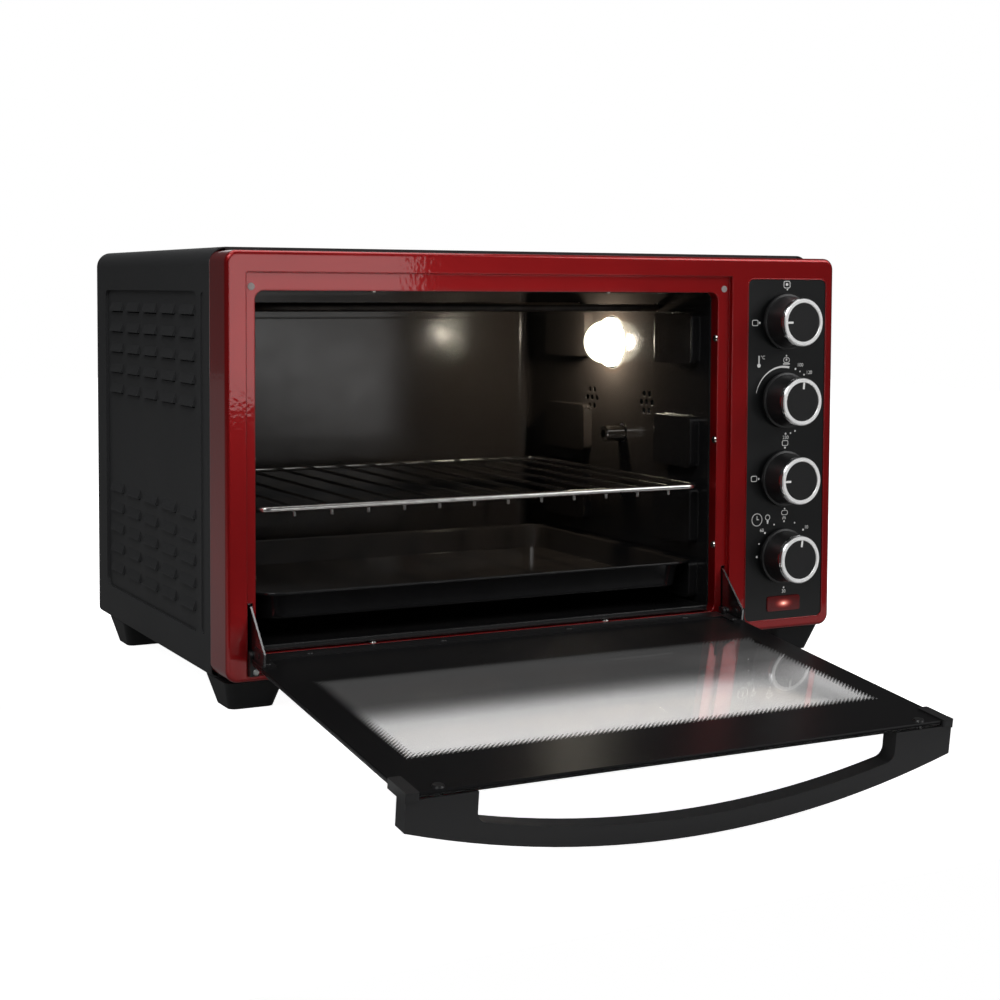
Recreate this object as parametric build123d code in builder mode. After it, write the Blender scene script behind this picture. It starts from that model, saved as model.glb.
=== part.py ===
from build123d import *
from math import cos, radians, sin
import os

# Countertop mini oven with its door open: louvred cabinet, red front frame, enamelled cavity and glass door.
# Millimetres. X runs to the right, Y to the back, Z up.
# The origin is on the worktop, below the middle of the front frame's face.

# Driving dimensions
width = 560
body_depth = 356
cabinet_bottom = 22
cabinet_top = 351
cabinet_radius = 13
cabinet_sheet = 1.0
frame_depth = 37
frame_bottom = 24
frame_top = 348
frame_radius = 9.5
frame_sheet = 1.5
window_left = -255.5
window_right = 160.5
window_bottom = 44
window_top = 318
window_radius = 7
cavity_rear = 343
liner_sheet = 1.0
door_open_angle = 96.5
pivot_y = 2.0
pivot_z = 42.7
glass_thickness = 4
glass_height = 287
slack = 0.3

# Places that follow from them
frame_middle = (frame_top + frame_bottom) / 2
frame_height = frame_top - frame_bottom
window_width = window_right - window_left
window_height = window_top - window_bottom
window_x = (window_left + window_right) / 2
window_z = (window_top + window_bottom) / 2
reveal_depth = 14
recess_depth = 4
recess_left = window_left - 8
recess_right = window_right + 12
recess_bottom = 28.5
recess_top = 331.7
recess_x = (recess_left + recess_right) / 2
recess_z = (recess_bottom + recess_top) / 2
recess_width = recess_right - recess_left
recess_height = recess_top - recess_bottom
floor_back = recess_depth + frame_sheet

# The door has its own frame: x to the right, then towards the hinge, then up off the glass's inner face.
tilt = radians(door_open_angle - 90)
forward = (0, -cos(tilt), -sin(tilt))
glass_up = (0, -sin(tilt), cos(tilt))
door_plane = Plane(origin=(0, pivot_y, pivot_z), x_dir=(1, 0, 0), z_dir=glass_up)


def front_plane(y):
    """Upright plane that faces the viewer at depth y, drawn in x and z."""
    return Plane.XZ.offset(-y)


def side_plane(x):
    """Upright plane across the body at x, drawn in y and z."""
    return Plane.YZ.offset(x)


def door_section(x):
    """Plane across the door at x, drawn from the hinge to the free edge and up off the glass."""
    return Plane(origin=(x, pivot_y, pivot_z), x_dir=forward, z_dir=(-1, 0, 0))


def turn_on_y(x, z, outline, mode=Mode.ADD):
    """Turn an outline of (radius, depth) points about a front-to-back axis."""
    with BuildSketch(Plane.XY.offset(z)) as section:
        Polygon([(x + radius, y) for radius, y in outline], align=None)
    revolve(section.sketch, axis=Axis((x, 0, z), (0, 1, 0)), mode=mode)


def turn_on_x(y, z, outline, mode=Mode.ADD):
    """Turn an outline of (x, radius) points about a left-to-right axis."""
    with BuildSketch(front_plane(y)) as section:
        Polygon([(x, z + radius) for x, radius in outline], align=None)
    revolve(section.sketch, axis=Axis((0, y, z), (1, 0, 0)), mode=mode)


def block(x_range, y_range, z_range, mode=Mode.ADD):
    """Straight-sided block between two x, two y and two z values."""
    centre = [(low + high) / 2 for low, high in (x_range, y_range, z_range)]
    spans = [high - low for low, high in (x_range, y_range, z_range)]
    with Locations(tuple(centre)):
        Box(*spans, mode=mode)


# Cabinet: one wrapped sheet, each side with a pressed field, a bead and louvres
bottom_flange = 40
bottom_radius = 5
rear_flange = 12
field_front = 68
field_rear = 328
field_bottom = 51.5
field_top = 317.5
field_radius = 8
press_depth = 2.5
field_y = (field_front + field_rear) / 2
field_z = (field_bottom + field_top) / 2
field_length = field_rear - field_front
field_height = field_top - field_bottom
bead_y = 54
bead_width = 9
louvre_length = 36
louvre_height = 8
louvre_lip = 0.8
louvre_pitch_y = 50
louvre_pitch_z = 18
louvre_groups = (107, 267)
louvre_rows = 5
louvre_columns = 5
foot_x = 253
foot_screw_front = 42
foot_screw_rear = 309
screw_hole = 2.6
rear_screw_x = 274
rear_screw_heights = (60, 190, 320)
rear_screw_z = 345
rear_screw_columns = (-150, 0, 150)
rear_screw_radius = 1.75
hem = 6

half_width = width / 2
foot_screw_places = [(side * foot_x, y) for side in (-1, 1) for y in (foot_screw_front, foot_screw_rear)]
rear_screw_places = (
    [(side * rear_screw_x, z) for side in (-1, 1) for z in rear_screw_heights]
    + [(x, rear_screw_z) for x in rear_screw_columns]
)
shell_depth = body_depth - frame_depth
field_floor = half_width - press_depth
half_louvre = louvre_height / 2
hood = [
    (0, -half_louvre),
    (press_depth, -half_louvre),
    (press_depth, -half_louvre + 1),
    (0, half_louvre),
]
throat = [
    (-cabinet_sheet - 1, -half_louvre - 1),
    (press_depth - louvre_lip, -half_louvre - 1),
    (press_depth - louvre_lip, -half_louvre + 0.6),
    (-0.2, half_louvre - 2.2),
    (-cabinet_sheet - 1, half_louvre - 2.2),
]


def louvre_column(y, outline, length, mode):
    """One upright column of louvre prisms, centred on y."""
    with BuildSketch(front_plane(y - length / 2)) as section:
        for group in louvre_groups:
            for row in range(louvre_rows):
                z = group + (row - (louvre_rows - 1) / 2) * louvre_pitch_z
                with Locations((field_floor, z)):
                    Polygon(outline, align=None)
    extrude(section.sketch, amount=-length, mode=mode)


with BuildPart() as cabinet:
    # right half of the wrap, from the middle of the top round to the flange under the body
    with BuildSketch(front_plane(frame_depth)):
        with BuildLine():
            outer = FilletPolyline(
                (0, cabinet_top),
                (half_width, cabinet_top),
                (half_width, cabinet_bottom),
                (half_width - bottom_flange, cabinet_bottom),
                radius=[cabinet_radius, bottom_radius],
            )
            inner = FilletPolyline(
                (0, cabinet_top - cabinet_sheet),
                (half_width - cabinet_sheet, cabinet_top - cabinet_sheet),
                (half_width - cabinet_sheet, cabinet_bottom + cabinet_sheet),
                (half_width - bottom_flange, cabinet_bottom + cabinet_sheet),
                radius=[cabinet_radius - cabinet_sheet, bottom_radius - cabinet_sheet],
            )
            Line(outer @ 0, inner @ 0)
            Line(outer @ 1, inner @ 1)
        make_face()
    extrude(amount=-shell_depth)
    # flange turned in round the back
    with BuildSketch(front_plane(body_depth - cabinet_sheet)):
        with BuildLine():
            rim = FilletPolyline(
                (0, cabinet_top - cabinet_sheet),
                (half_width - cabinet_sheet, cabinet_top - cabinet_sheet),
                (half_width - cabinet_sheet, cabinet_bottom + 3),
                radius=cabinet_radius - cabinet_sheet,
            )
            mouth = FilletPolyline(
                (0, cabinet_top - rear_flange),
                (half_width - rear_flange, cabinet_top - rear_flange),
                (half_width - rear_flange, cabinet_bottom + 3),
                radius=cabinet_radius / 2,
            )
            Line(rim @ 0, mouth @ 0)
            Line(rim @ 1, mouth @ 1)
        make_face()
    extrude(amount=-cabinet_sheet)
    # hem turned down behind the front frame
    block(
        (0, half_width - cabinet_radius),
        (frame_depth, frame_depth + cabinet_sheet),
        (cabinet_top - hem, cabinet_top - cabinet_sheet),
    )
    # pressed field
    with BuildSketch(side_plane(field_floor - cabinet_sheet)):
        with Locations((field_y, field_z)):
            RectangleRounded(field_length + 2, field_height + 2, field_radius + 1)
    extrude(amount=press_depth)
    with BuildSketch(side_plane(field_floor)):
        with Locations((field_y, field_z)):
            RectangleRounded(field_length, field_height, field_radius)
    extrude(amount=press_depth, mode=Mode.SUBTRACT)
    # stiffening bead between the field and the front edge
    with BuildSketch(side_plane(half_width - 2 * cabinet_sheet)):
        with Locations((bead_y, field_z)):
            SlotOverall(field_height, bead_width + 2, rotation=90)
    extrude(amount=cabinet_sheet)
    with BuildSketch(side_plane(half_width - cabinet_sheet)):
        with Locations((bead_y, field_z)):
            SlotOverall(field_height - 2, bead_width, rotation=90)
    extrude(amount=cabinet_sheet, mode=Mode.SUBTRACT)
    # louvres: hoods pressed out of the field that open downwards
    for column in range(louvre_columns):
        y = field_y + (column - (louvre_columns - 1) / 2) * louvre_pitch_y
        louvre_column(y, hood, louvre_length, Mode.ADD)
        louvre_column(y, throat, louvre_length - 2, Mode.SUBTRACT)
    mirror(about=Plane.YZ)
    with Locations([(x, y, cabinet_bottom) for x, y in foot_screw_places]):
        Cylinder(screw_hole, 8, mode=Mode.SUBTRACT)
    with BuildSketch(front_plane(body_depth)):
        with Locations(rear_screw_places):
            Circle(rear_screw_radius)
    extrude(amount=2 * cabinet_sheet, mode=Mode.SUBTRACT)
cabinet.part.label = "cabinet"


# Front frame: a drawn red shell with the door recess, the window and the panel opening
front_round = 3
panel_left = 189
panel_right = 271.7
panel_bottom = 32.4
panel_top = 330
panel_radius = 6
panel_x = (panel_left + panel_right) / 2
panel_z = (panel_bottom + panel_top) / 2
panel_width = panel_right - panel_left
panel_height = panel_top - panel_bottom
stay_slot_left = -262
stay_slot_right = -257.8
stay_slot_bottom = 37
stay_slot_top = 83
tongue = 1.2
reveal_screw_y = 7.5
reveal_screw_radius = 1.5
side_screw_heights = (101.4, 192, 279)
level_screw_places = (-158, 53)


def reveal_holes(depth):
    """Cut the holes for the screws in the reveal of the window."""
    for x in (window_left, window_right):
        for z in side_screw_heights:
            with Locations(Plane(origin=(x, reveal_screw_y, z), z_dir=(1, 0, 0))):
                Cylinder(reveal_screw_radius, depth, mode=Mode.SUBTRACT)
    for z in (window_bottom, window_top):
        for x in level_screw_places:
            with Locations((x, reveal_screw_y, z)):
                Cylinder(reveal_screw_radius, depth, mode=Mode.SUBTRACT)


with BuildPart() as front_frame:
    with BuildSketch(front_plane(0)):
        with Locations((0, frame_middle)):
            RectangleRounded(width, frame_height, frame_radius)
    extrude(amount=-frame_depth)
    fillet(front_frame.faces().sort_by(Axis.Y)[0].edges(), front_round)
    with BuildSketch(front_plane(frame_sheet)):
        with Locations((0, frame_middle)):
            inner_width = width - 2 * frame_sheet
            RectangleRounded(inner_width, frame_height - 2 * frame_sheet, frame_radius - frame_sheet)
    extrude(amount=-frame_depth, mode=Mode.SUBTRACT)
    # recess that the door closes into
    with BuildSketch(front_plane(frame_sheet / 2)):
        with Locations((recess_x, recess_z)):
            Rectangle(recess_width + 2 * frame_sheet, recess_height + 2 * frame_sheet)
    extrude(amount=-(floor_back - frame_sheet / 2))
    with BuildSketch(front_plane(0)):
        with Locations((recess_x, recess_z)):
            Rectangle(recess_width, recess_height)
    extrude(amount=-recess_depth, mode=Mode.SUBTRACT)
    # window with its drawn reveal
    with BuildSketch(front_plane(recess_depth)):
        with Locations((window_x, window_z)):
            RectangleRounded(
                window_width + 2 * frame_sheet, window_height + 2 * frame_sheet, window_radius + frame_sheet
            )
    extrude(amount=-(reveal_depth - recess_depth))
    with BuildSketch(front_plane(0)):
        with Locations((window_x, window_z)):
            RectangleRounded(window_width, window_height, window_radius)
    extrude(amount=-frame_depth, mode=Mode.SUBTRACT)
    # opening for the control panel
    with BuildSketch(front_plane(0)):
        with Locations((panel_x, panel_z)):
            RectangleRounded(panel_width, panel_height, panel_radius)
    extrude(amount=-frame_sheet, mode=Mode.SUBTRACT)
    # slots that the door stays pass through, one at each side of the door
    for side in (-1, 1):
        slot_x = recess_x + side * (recess_x - (stay_slot_left + stay_slot_right) / 2)
        slot_width = stay_slot_right - stay_slot_left
        slot_height = stay_slot_top - stay_slot_bottom
        with Locations((slot_x, recess_depth, stay_slot_bottom + slot_height / 2)):
            Box(slot_width, 4 * frame_sheet, slot_height, mode=Mode.SUBTRACT)
    # tongues that slide inside the cabinet walls
    for side in (-1, 1):
        inner_wall = side * (half_width - frame_sheet + 0.2)
        block(
            sorted((inner_wall, inner_wall - side * tongue)),
            (frame_depth - 7, frame_depth + 9),
            (frame_bottom + 40, frame_top - 40),
        )
    reveal_holes(4 * frame_sheet)
front_frame.part.label = "front_frame"

# Control panel: black insert clipped in from behind the frame
panel_fit = 0.2
panel_face = 0.3
panel_back = 3.0
panel_lip = 3
knob_x = 227
knob_heights = (293, 224.9, 156.8, 88.7)
shaft_opening = 7
lens_x = 230.3
lens_z = 46.5
lens_width = 34.6
lens_height = 13
lens_corner = 2

with BuildPart() as control_panel:
    with BuildSketch(front_plane(panel_face)):
        with Locations((panel_x, panel_z)):
            face_width = panel_width - 2 * panel_fit
            RectangleRounded(face_width, panel_height - 2 * panel_fit, panel_radius - panel_fit)
    extrude(amount=-(panel_back - panel_face))
    with BuildSketch(front_plane(frame_sheet)):
        with Locations((panel_x, panel_z)):
            back_width = panel_width + 2 * panel_lip
            RectangleRounded(back_width, panel_height + 2 * panel_lip, panel_radius + panel_lip)
    extrude(amount=-(panel_back - frame_sheet))
    with BuildSketch(front_plane(0)):
        for z in knob_heights:
            with Locations((knob_x, z)):
                Circle(shaft_opening)
        with Locations((lens_x, lens_z)):
            RectangleRounded(lens_width + 2 * panel_fit, lens_height + 2 * panel_fit, lens_corner)
    extrude(amount=-panel_back, mode=Mode.SUBTRACT)
control_panel.part.label = "control_panel"

# Bracket behind the panel that carries the four controls
bracket_face = 12
bracket_sheet = 1.2
bracket_half = 34
bracket_bottom = 62
bracket_top = 326
bushing_radius = 5
bushing_fit = 0.2

with BuildPart() as control_bracket:
    block(
        (knob_x - bracket_half, knob_x + bracket_half),
        (bracket_face, bracket_face + bracket_sheet),
        (bracket_bottom, bracket_top),
    )
    for side in (-1, 1):
        leg = knob_x + side * bracket_half
        block(
            sorted((leg, leg - side * bracket_sheet)),
            (panel_back, bracket_face + 1),
            (bracket_bottom, bracket_top),
        )
    for z in knob_heights:
        with Locations(Plane(origin=(knob_x, bracket_face, z), z_dir=(0, 1, 0))):
            Cylinder(bushing_radius + bushing_fit, 6, mode=Mode.SUBTRACT)
control_bracket.part.label = "control_bracket"

# Four controls: rotary switches, a thermostat and a bell timer, each with a round bushing
control_back = bracket_face + bracket_sheet
bushing_front = 6
shaft_radius = 3
shaft_running_fit = 0.05
shaft_rear = 28
control_names = ("function_switch", "thermostat", "mode_switch", "timer")
control_cases = (
    (36, 36, 26),
    (34, 44, 20),
    (36, 36, 26),
    (40, 40, 22),
)
controls = {}
for control, (case_width, case_height, case_depth), z in zip(control_names, control_cases, knob_heights):
    with BuildPart() as case:
        with BuildSketch(front_plane(control_back)):
            with Locations((knob_x, z)):
                RectangleRounded(case_width, case_height, 4)
        extrude(amount=-case_depth)
        turn_on_y(knob_x, z, [(0, bushing_front), (bushing_radius, bushing_front),
                              (bushing_radius, control_back + 1), (0, control_back + 1)])
        if control == "thermostat":
            # capillary head at the back
            turn_on_y(knob_x, z, [(0, control_back + case_depth - 1), (12, control_back + case_depth - 1),
                                  (12, control_back + case_depth + 6), (0, control_back + case_depth + 6)])
        elif control == "timer":
            # bell
            turn_on_y(knob_x, z, [(0, control_back + case_depth - 1), (17, control_back + case_depth - 1),
                                  (17, control_back + case_depth + 7), (13, control_back + case_depth + 10),
                                  (0, control_back + case_depth + 10)])
        else:
            # two rows of blade terminals
            with BuildSketch(front_plane(control_back + case_depth - 1)) as blades:
                with Locations((knob_x, z)):
                    with GridLocations(22, 9, 2, 3):
                        Rectangle(0.8, 6.3)
            extrude(blades.sketch, amount=-9)
        turn_on_y(knob_x, z, [(0, bushing_front - 1), (shaft_radius + shaft_running_fit, bushing_front - 1),
                              (shaft_radius + shaft_running_fit, shaft_rear + 0.5), (0, shaft_rear + 0.5)],
                  Mode.SUBTRACT)
    case.part.label = control
    controls[control] = case.part

# Knobs: black bodies with a chrome ring, each on its own shaft
knob_ring_radius = 20.6
knob_ring_bore = 16.6
knob_front = -28.7
knob_ring_rear = -23.4
knob_face = -27.9
knob_skirt_radius = 24
knob_rear = -3.2
knob_wall = 2
hub_radius = 6
shaft_front = -21
flat_depth = 0.7

knob_pieces = {}
for number, z in enumerate(knob_heights, start=1):
    axis_plane = Plane(origin=(knob_x, 0, z), x_dir=(1, 0, 0), z_dir=(0, -1, 0))
    with BuildPart() as knob:
        turn_on_y(knob_x, z, [
            (0, knob_face), (knob_ring_bore - 0.1, knob_face), (knob_ring_bore - 0.1, knob_ring_rear),
            (knob_ring_radius - 0.4, knob_ring_rear), (knob_skirt_radius - 1.6, knob_rear - 3),
            (knob_skirt_radius, knob_rear - 2.4), (knob_skirt_radius, knob_rear), (0, knob_rear),
        ])
        # hollow round the hub
        turn_on_y(knob_x, z, [
            (hub_radius, knob_rear + 1), (knob_skirt_radius - 1.6 - knob_wall, knob_rear + 1),
            (knob_ring_radius - 0.4 - knob_wall, knob_ring_rear + 4), (hub_radius, knob_ring_rear + 4),
        ], Mode.SUBTRACT)
        # D-shaped socket for the shaft
        with BuildSketch(axis_plane.offset(-knob_rear - 1)):
            Circle(shaft_radius + 0.02)
            with Locations((0, shaft_radius)):
                Rectangle(2 * shaft_radius + 1, 2 * (flat_depth - 0.02), mode=Mode.SUBTRACT)
        extrude(amount=knob_rear + 1 - shaft_front, mode=Mode.SUBTRACT)
    knob.part.label = f"knob_{number}"
    with BuildPart() as ring:
        turn_on_y(knob_x, z, [
            (knob_ring_bore, knob_front + 0.6), (knob_ring_bore + 0.6, knob_front),
            (knob_ring_radius - 1.2, knob_front), (knob_ring_radius, knob_front + 1.2),
            (knob_ring_radius, knob_front + 2.2), (knob_ring_radius - 0.7, knob_front + 2.7),
            (knob_ring_radius, knob_front + 3.2), (knob_ring_radius, knob_ring_rear),
            (knob_ring_bore, knob_ring_rear),
        ])
    ring.part.label = f"knob_{number}_ring"
    with BuildPart() as shaft:
        with BuildSketch(axis_plane.offset(-shaft_rear)):
            Circle(shaft_radius)
        extrude(amount=shaft_rear - shaft_front - 0.3)
        with BuildSketch(axis_plane.offset(-knob_rear - 2)):
            with Locations((0, shaft_radius)):
                Rectangle(2 * shaft_radius + 1, 2 * flat_depth)
        extrude(amount=40, mode=Mode.SUBTRACT)
    shaft.part.label = f"knob_{number}_shaft"
    for piece in (knob, ring, shaft):
        knob_pieces[piece.part.label] = piece.part

# Indicator: red lens in the panel with its lamp behind it
lens_wall = 1.2
lens_front = -0.7
lens_rear = 13
lens_lip = 2

with BuildPart() as indicator_lens:
    with BuildSketch(front_plane(lens_front)):
        with Locations((lens_x, lens_z)):
            RectangleRounded(lens_width, lens_height, lens_corner)
    extrude(amount=-(lens_rear - lens_front))
    with BuildSketch(front_plane(panel_back)):
        with Locations((lens_x, lens_z)):
            RectangleRounded(lens_width + 2 * lens_lip, lens_height + 2 * lens_lip, lens_corner)
    extrude(amount=-lens_wall)
    with BuildSketch(front_plane(lens_front + lens_wall)):
        with Locations((lens_x, lens_z)):
            RectangleRounded(lens_width - 2 * lens_wall, lens_height - 2 * lens_wall, lens_corner / 2)
    extrude(amount=-lens_rear, mode=Mode.SUBTRACT)
indicator_lens.part.label = "indicator_lens"

with BuildPart() as indicator_lamp:
    with BuildSketch(front_plane(lens_rear)):
        with Locations((lens_x, lens_z)):
            RectangleRounded(lens_width, lens_height, lens_corner)
    extrude(amount=-3)
    turn_on_y(lens_x, lens_z, [
        (0, lens_rear - 8.5), (2.4, lens_rear - 7), (2.6, lens_rear + 1), (0, lens_rear + 1),
    ])
indicator_lamp.part.label = "indicator_lamp"

# Cavity liner: enamelled sheets, which are a floor, a ceiling, two sides, a back and a window collar
liner_left = window_left + 0.5
liner_right = window_right - 0.5
liner_half = (liner_right - liner_left) / 2
liner_floor = window_bottom + 0.5
liner_ceiling = window_top - 0.5
liner_height = liner_ceiling - liner_floor
liner_front = reveal_depth + liner_sheet
liner_corner = 12
corner_start = cavity_rear - liner_corner - 3
panel_middle_y = (liner_front + corner_start) / 2
liner_z = (liner_floor + liner_ceiling) / 2
ledge_depth = 9
ledge_heights = ((52, 84), (100, 148.2), (166, 210), (256, 300))
ledge_spans = ((30, 90), (213, 290))
ledge_corner = 5
lamp_y = 177
lamp_z = 271
lamp_hole = 24.5
fan_y = 157
fan_z = 129
grille_radii = (16, 27, 38)
grille_slot = 4
grille_bridge = 12
vent_places = ((213, 217), (115, 218))
vent_hole = 2.5
vent_ring = 9
heater_radius = 3.25
heater_fit = 0.05
top_heater_z = 304
top_heater_legs = (100, 240)
bottom_heater_z = 58
bottom_heater_legs = (98, 204)
spit_y = 158
spit_z = 187
spit_hole = 9
back_bead_z = 295.5
back_bead_width = 8
back_bead_depth = 2


def liner_outline(start, grow):
    """Path in plan round the cavity's rear end, from the left wall to the right; grow moves it outwards."""
    left = liner_left - grow
    right = liner_right + grow
    rear = cavity_rear + grow
    corners = ((left, start), (left, rear), (right, rear), (right, start))
    return FilletPolyline(*corners, radius=liner_corner + grow)


# floor and ceiling are the same plate
with BuildPart() as liner_plates:
    for z in (liner_floor - liner_sheet, liner_ceiling):
        with BuildSketch(Plane.XY.offset(z)) as plate:
            with BuildLine():
                rim = liner_outline(liner_front, liner_sheet)
                Line(rim @ 1, rim @ 0)
            make_face()
        extrude(plate.sketch, amount=liner_sheet)
liner_plates.part.label = "liner_plates"

# back, turned forwards round both rear corners
with BuildPart() as liner_back:
    with BuildSketch(Plane.XY.offset(liner_floor)):
        with BuildLine():
            outside = liner_outline(corner_start, liner_sheet)
            inside = liner_outline(corner_start, 0)
            Line(outside @ 0, inside @ 0)
            Line(outside @ 1, inside @ 1)
        make_face()
    extrude(amount=liner_height)
    with BuildSketch(front_plane(cavity_rear)) as bead:
        with Locations((window_x, back_bead_z)):
            SlotOverall(2 * liner_half - 69, back_bead_width)
    extrude(bead.sketch, amount=back_bead_depth)
liner_back.part.label = "liner_back"

# collar that fits round the frame's reveal, with a flange that the other sheets butt against
with BuildPart() as liner_collar:
    outer_grow = 2 * (frame_sheet + liner_sheet)
    for depth, length, grow in (
        (reveal_depth, liner_sheet, -1),
        (floor_back + slack, reveal_depth - floor_back, 2 * frame_sheet),
    ):
        with BuildSketch(front_plane(depth)) as ring:
            with Locations((window_x, window_z)):
                for size, ring_mode in ((outer_grow, Mode.ADD), (grow, Mode.SUBTRACT)):
                    RectangleRounded(
                        window_width + size, window_height + size, window_radius + size / 2, mode=ring_mode
                    )
        extrude(ring.sketch, amount=-length)
    reveal_holes(2 * outer_grow)
liner_collar.part.label = "liner_collar"


def side_panel(wall, inward):
    """Side panel: flat sheet whose ledges are rounded blocks on the inside, hollowed from the outside."""
    with BuildSketch(side_plane(wall)) as sheet:
        with Locations((panel_middle_y, liner_z)):
            Rectangle(corner_start - liner_front, liner_height)
    extrude(sheet.sketch, amount=-inward * liner_sheet)
    for inset, mode in ((0, Mode.ADD), (liner_sheet, Mode.SUBTRACT)):
        surface = wall - inward * inset
        with BuildSketch(side_plane(surface)) as pads:
            for low, high in ledge_heights:
                for near, far in ledge_spans:
                    with Locations(((near + far) / 2, (low + high) / 2)):
                        RectangleRounded(far - near - 2 * inset, high - low - 2 * inset, ledge_corner - inset)
        extrude(pads.sketch, amount=inward * ledge_depth, mode=mode)


with BuildPart() as liner_left_side:
    side_panel(liner_left, 1)
liner_left_side.part.label = "liner_left"

# right side: also holds the lamp window, fan grille, steam vents, spit drive and heater ends
with BuildPart() as liner_right_side:
    side_panel(liner_right, -1)
    with BuildSketch(side_plane(liner_right - liner_sheet)) as openings:
        with Locations((lamp_y, lamp_z)):
            Circle(lamp_hole)
        for radius in grille_radii:
            for start in (0, 90, 180, 270):
                arc = CenterArc((fan_y, fan_z), radius, start + grille_bridge, 90 - 2 * grille_bridge)
                SlotArc(arc, grille_slot)
        with Locations((fan_y, fan_z)):
            Circle(vent_hole)
        for place in vent_places:
            with Locations(place):
                Circle(vent_hole)
                with PolarLocations(vent_ring, 6):
                    Circle(vent_hole)
        with Locations((spit_y, spit_z)):
            Circle(spit_hole)
        for z, legs in ((top_heater_z, top_heater_legs), (bottom_heater_z, bottom_heater_legs)):
            for y in legs:
                with Locations((y, z)):
                    Circle(heater_radius + 2 * slack)
    extrude(openings.sketch, amount=3 * liner_sheet, mode=Mode.SUBTRACT)
liner_right_side.part.label = "liner_right"

# Tubular heaters: one bent rod under the ceiling and one over the floor
heater_left = -225
heater_end = 176
heater_bend = 24


def heater_rod(z, legs):
    """U-shaped rod lying at height z, its two ends through the right wall."""
    near, far = legs
    with BuildPart() as rod:
        with BuildLine(Plane.XY.offset(z)) as path:
            bends = ((heater_end, near), (heater_left, near), (heater_left, far), (heater_end, far))
            FilletPolyline(*bends, radius=heater_bend)
        with BuildSketch(Plane(origin=(heater_end, near, z), z_dir=(-1, 0, 0))) as bar:
            Circle(heater_radius)
        sweep(bar.sketch, path=path.line)
    return rod.part


heater_top = heater_rod(top_heater_z, top_heater_legs)
heater_top.label = "heater_top"
heater_bottom = heater_rod(bottom_heater_z, bottom_heater_legs)
heater_bottom.label = "heater_bottom"

bead_radius = 6
bead_length = 11
with BuildPart() as heater_beads:
    for z, legs in ((top_heater_z, top_heater_legs), (bottom_heater_z, bottom_heater_legs)):
        for y in legs:
            near = liner_right + liner_sheet
            bore = heater_radius + heater_fit
            turn_on_x(y, z, [(near, bore), (near + bead_length, bore), (near + bead_length, bead_radius),
                             (near, bead_radius)])
heater_beads.part.label = "heater_beads"

clip_places = (140, 172)
clip_width = 10
clip_sheet = 1
with BuildPart() as heater_clips:
    for z in (top_heater_z, bottom_heater_z):
        for y in clip_places:
            heights = (z - clip_width / 2, z + clip_width / 2)
            block((liner_left, heater_left + heater_radius + 1.5), (y, y + clip_sheet), heights)
            block((liner_left, liner_left + clip_sheet), (y, y + clip_width), heights)
            with Locations(Plane(origin=(heater_left, y, z), z_dir=(0, 1, 0))):
                Cylinder(heater_radius + heater_fit, 6, mode=Mode.SUBTRACT)
heater_clips.part.label = "heater_clips"

# Oven lamp: glass dome in the wall, bulb and holder in the side compartment
dome_radius = 23
dome_flange = 27
dome_wall = 1.6
dome_reach = 7
outer_wall = liner_right + liner_sheet
dome_tip = liner_right - dome_reach

with BuildPart() as lamp_glass:
    turn_on_x(lamp_y, lamp_z, [
        (dome_tip, 0), (dome_tip, dome_radius - 6), (dome_tip + 5, dome_radius), (outer_wall, dome_radius),
        (outer_wall, dome_flange), (outer_wall + dome_wall, dome_flange),
        (outer_wall + dome_wall, dome_radius - dome_wall), (dome_tip + 5.5, dome_radius - dome_wall),
        (dome_tip + dome_wall, dome_radius - 7), (dome_tip + dome_wall, 0),
    ])
lamp_glass.part.label = "lamp_glass"

holder_face = outer_wall + dome_wall
cup_rear = holder_face + 34
cup_wall = 2
socket_depth = 20
cap_bore = 7.2
with BuildPart() as lamp_holder:
    turn_on_x(lamp_y, lamp_z, [
        (holder_face, dome_radius - cup_wall), (holder_face, dome_flange), (holder_face + 1, dome_flange),
        (holder_face + 1.5, dome_radius), (cup_rear, dome_radius), (cup_rear, 12),
        (cup_rear + socket_depth + 4, 10), (cup_rear + socket_depth + 4, 0),
        (cup_rear + socket_depth, 0), (cup_rear + socket_depth, cap_bore),
        (cup_rear - 1, cap_bore), (cup_rear - 1, dome_radius - cup_wall),
    ])
lamp_holder.part.label = "lamp_holder"

cap_rear = cup_rear + socket_depth
with BuildPart() as lamp_bulb:
    turn_on_x(lamp_y, lamp_z, [
        (cap_rear, 0), (cap_rear, 5), (cap_rear - 2, 7), (cap_rear - 22, 7), (cap_rear - 26, 9),
        (cap_rear - 36, 12.5), (cap_rear - 43, 11.5), (cap_rear - 47, 7.5), (cap_rear - 48.5, 0),
    ])
lamp_bulb.part.label = "lamp_bulb"

# Convection fan: shroud, impeller and motor on the right wall
shroud_radius = 44.5
shroud_depth = 24
shroud_sheet = 1
shroud_rim = 2.5
shroud_rear = outer_wall + shroud_depth
motor_radius = 24
motor_length = 34
fan_shaft_radius = 2.5

with BuildPart() as fan_shroud:
    turn_on_x(fan_y, fan_z, [
        (outer_wall, shroud_radius - shroud_sheet), (outer_wall, shroud_radius + shroud_rim),
        (outer_wall + shroud_sheet, shroud_radius + shroud_rim), (outer_wall + shroud_sheet, shroud_radius),
        (shroud_rear, shroud_radius), (shroud_rear, 6), (shroud_rear - shroud_sheet, 6),
        (shroud_rear - shroud_sheet, shroud_radius - shroud_sheet),
    ])
fan_shroud.part.label = "fan_shroud"

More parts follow.
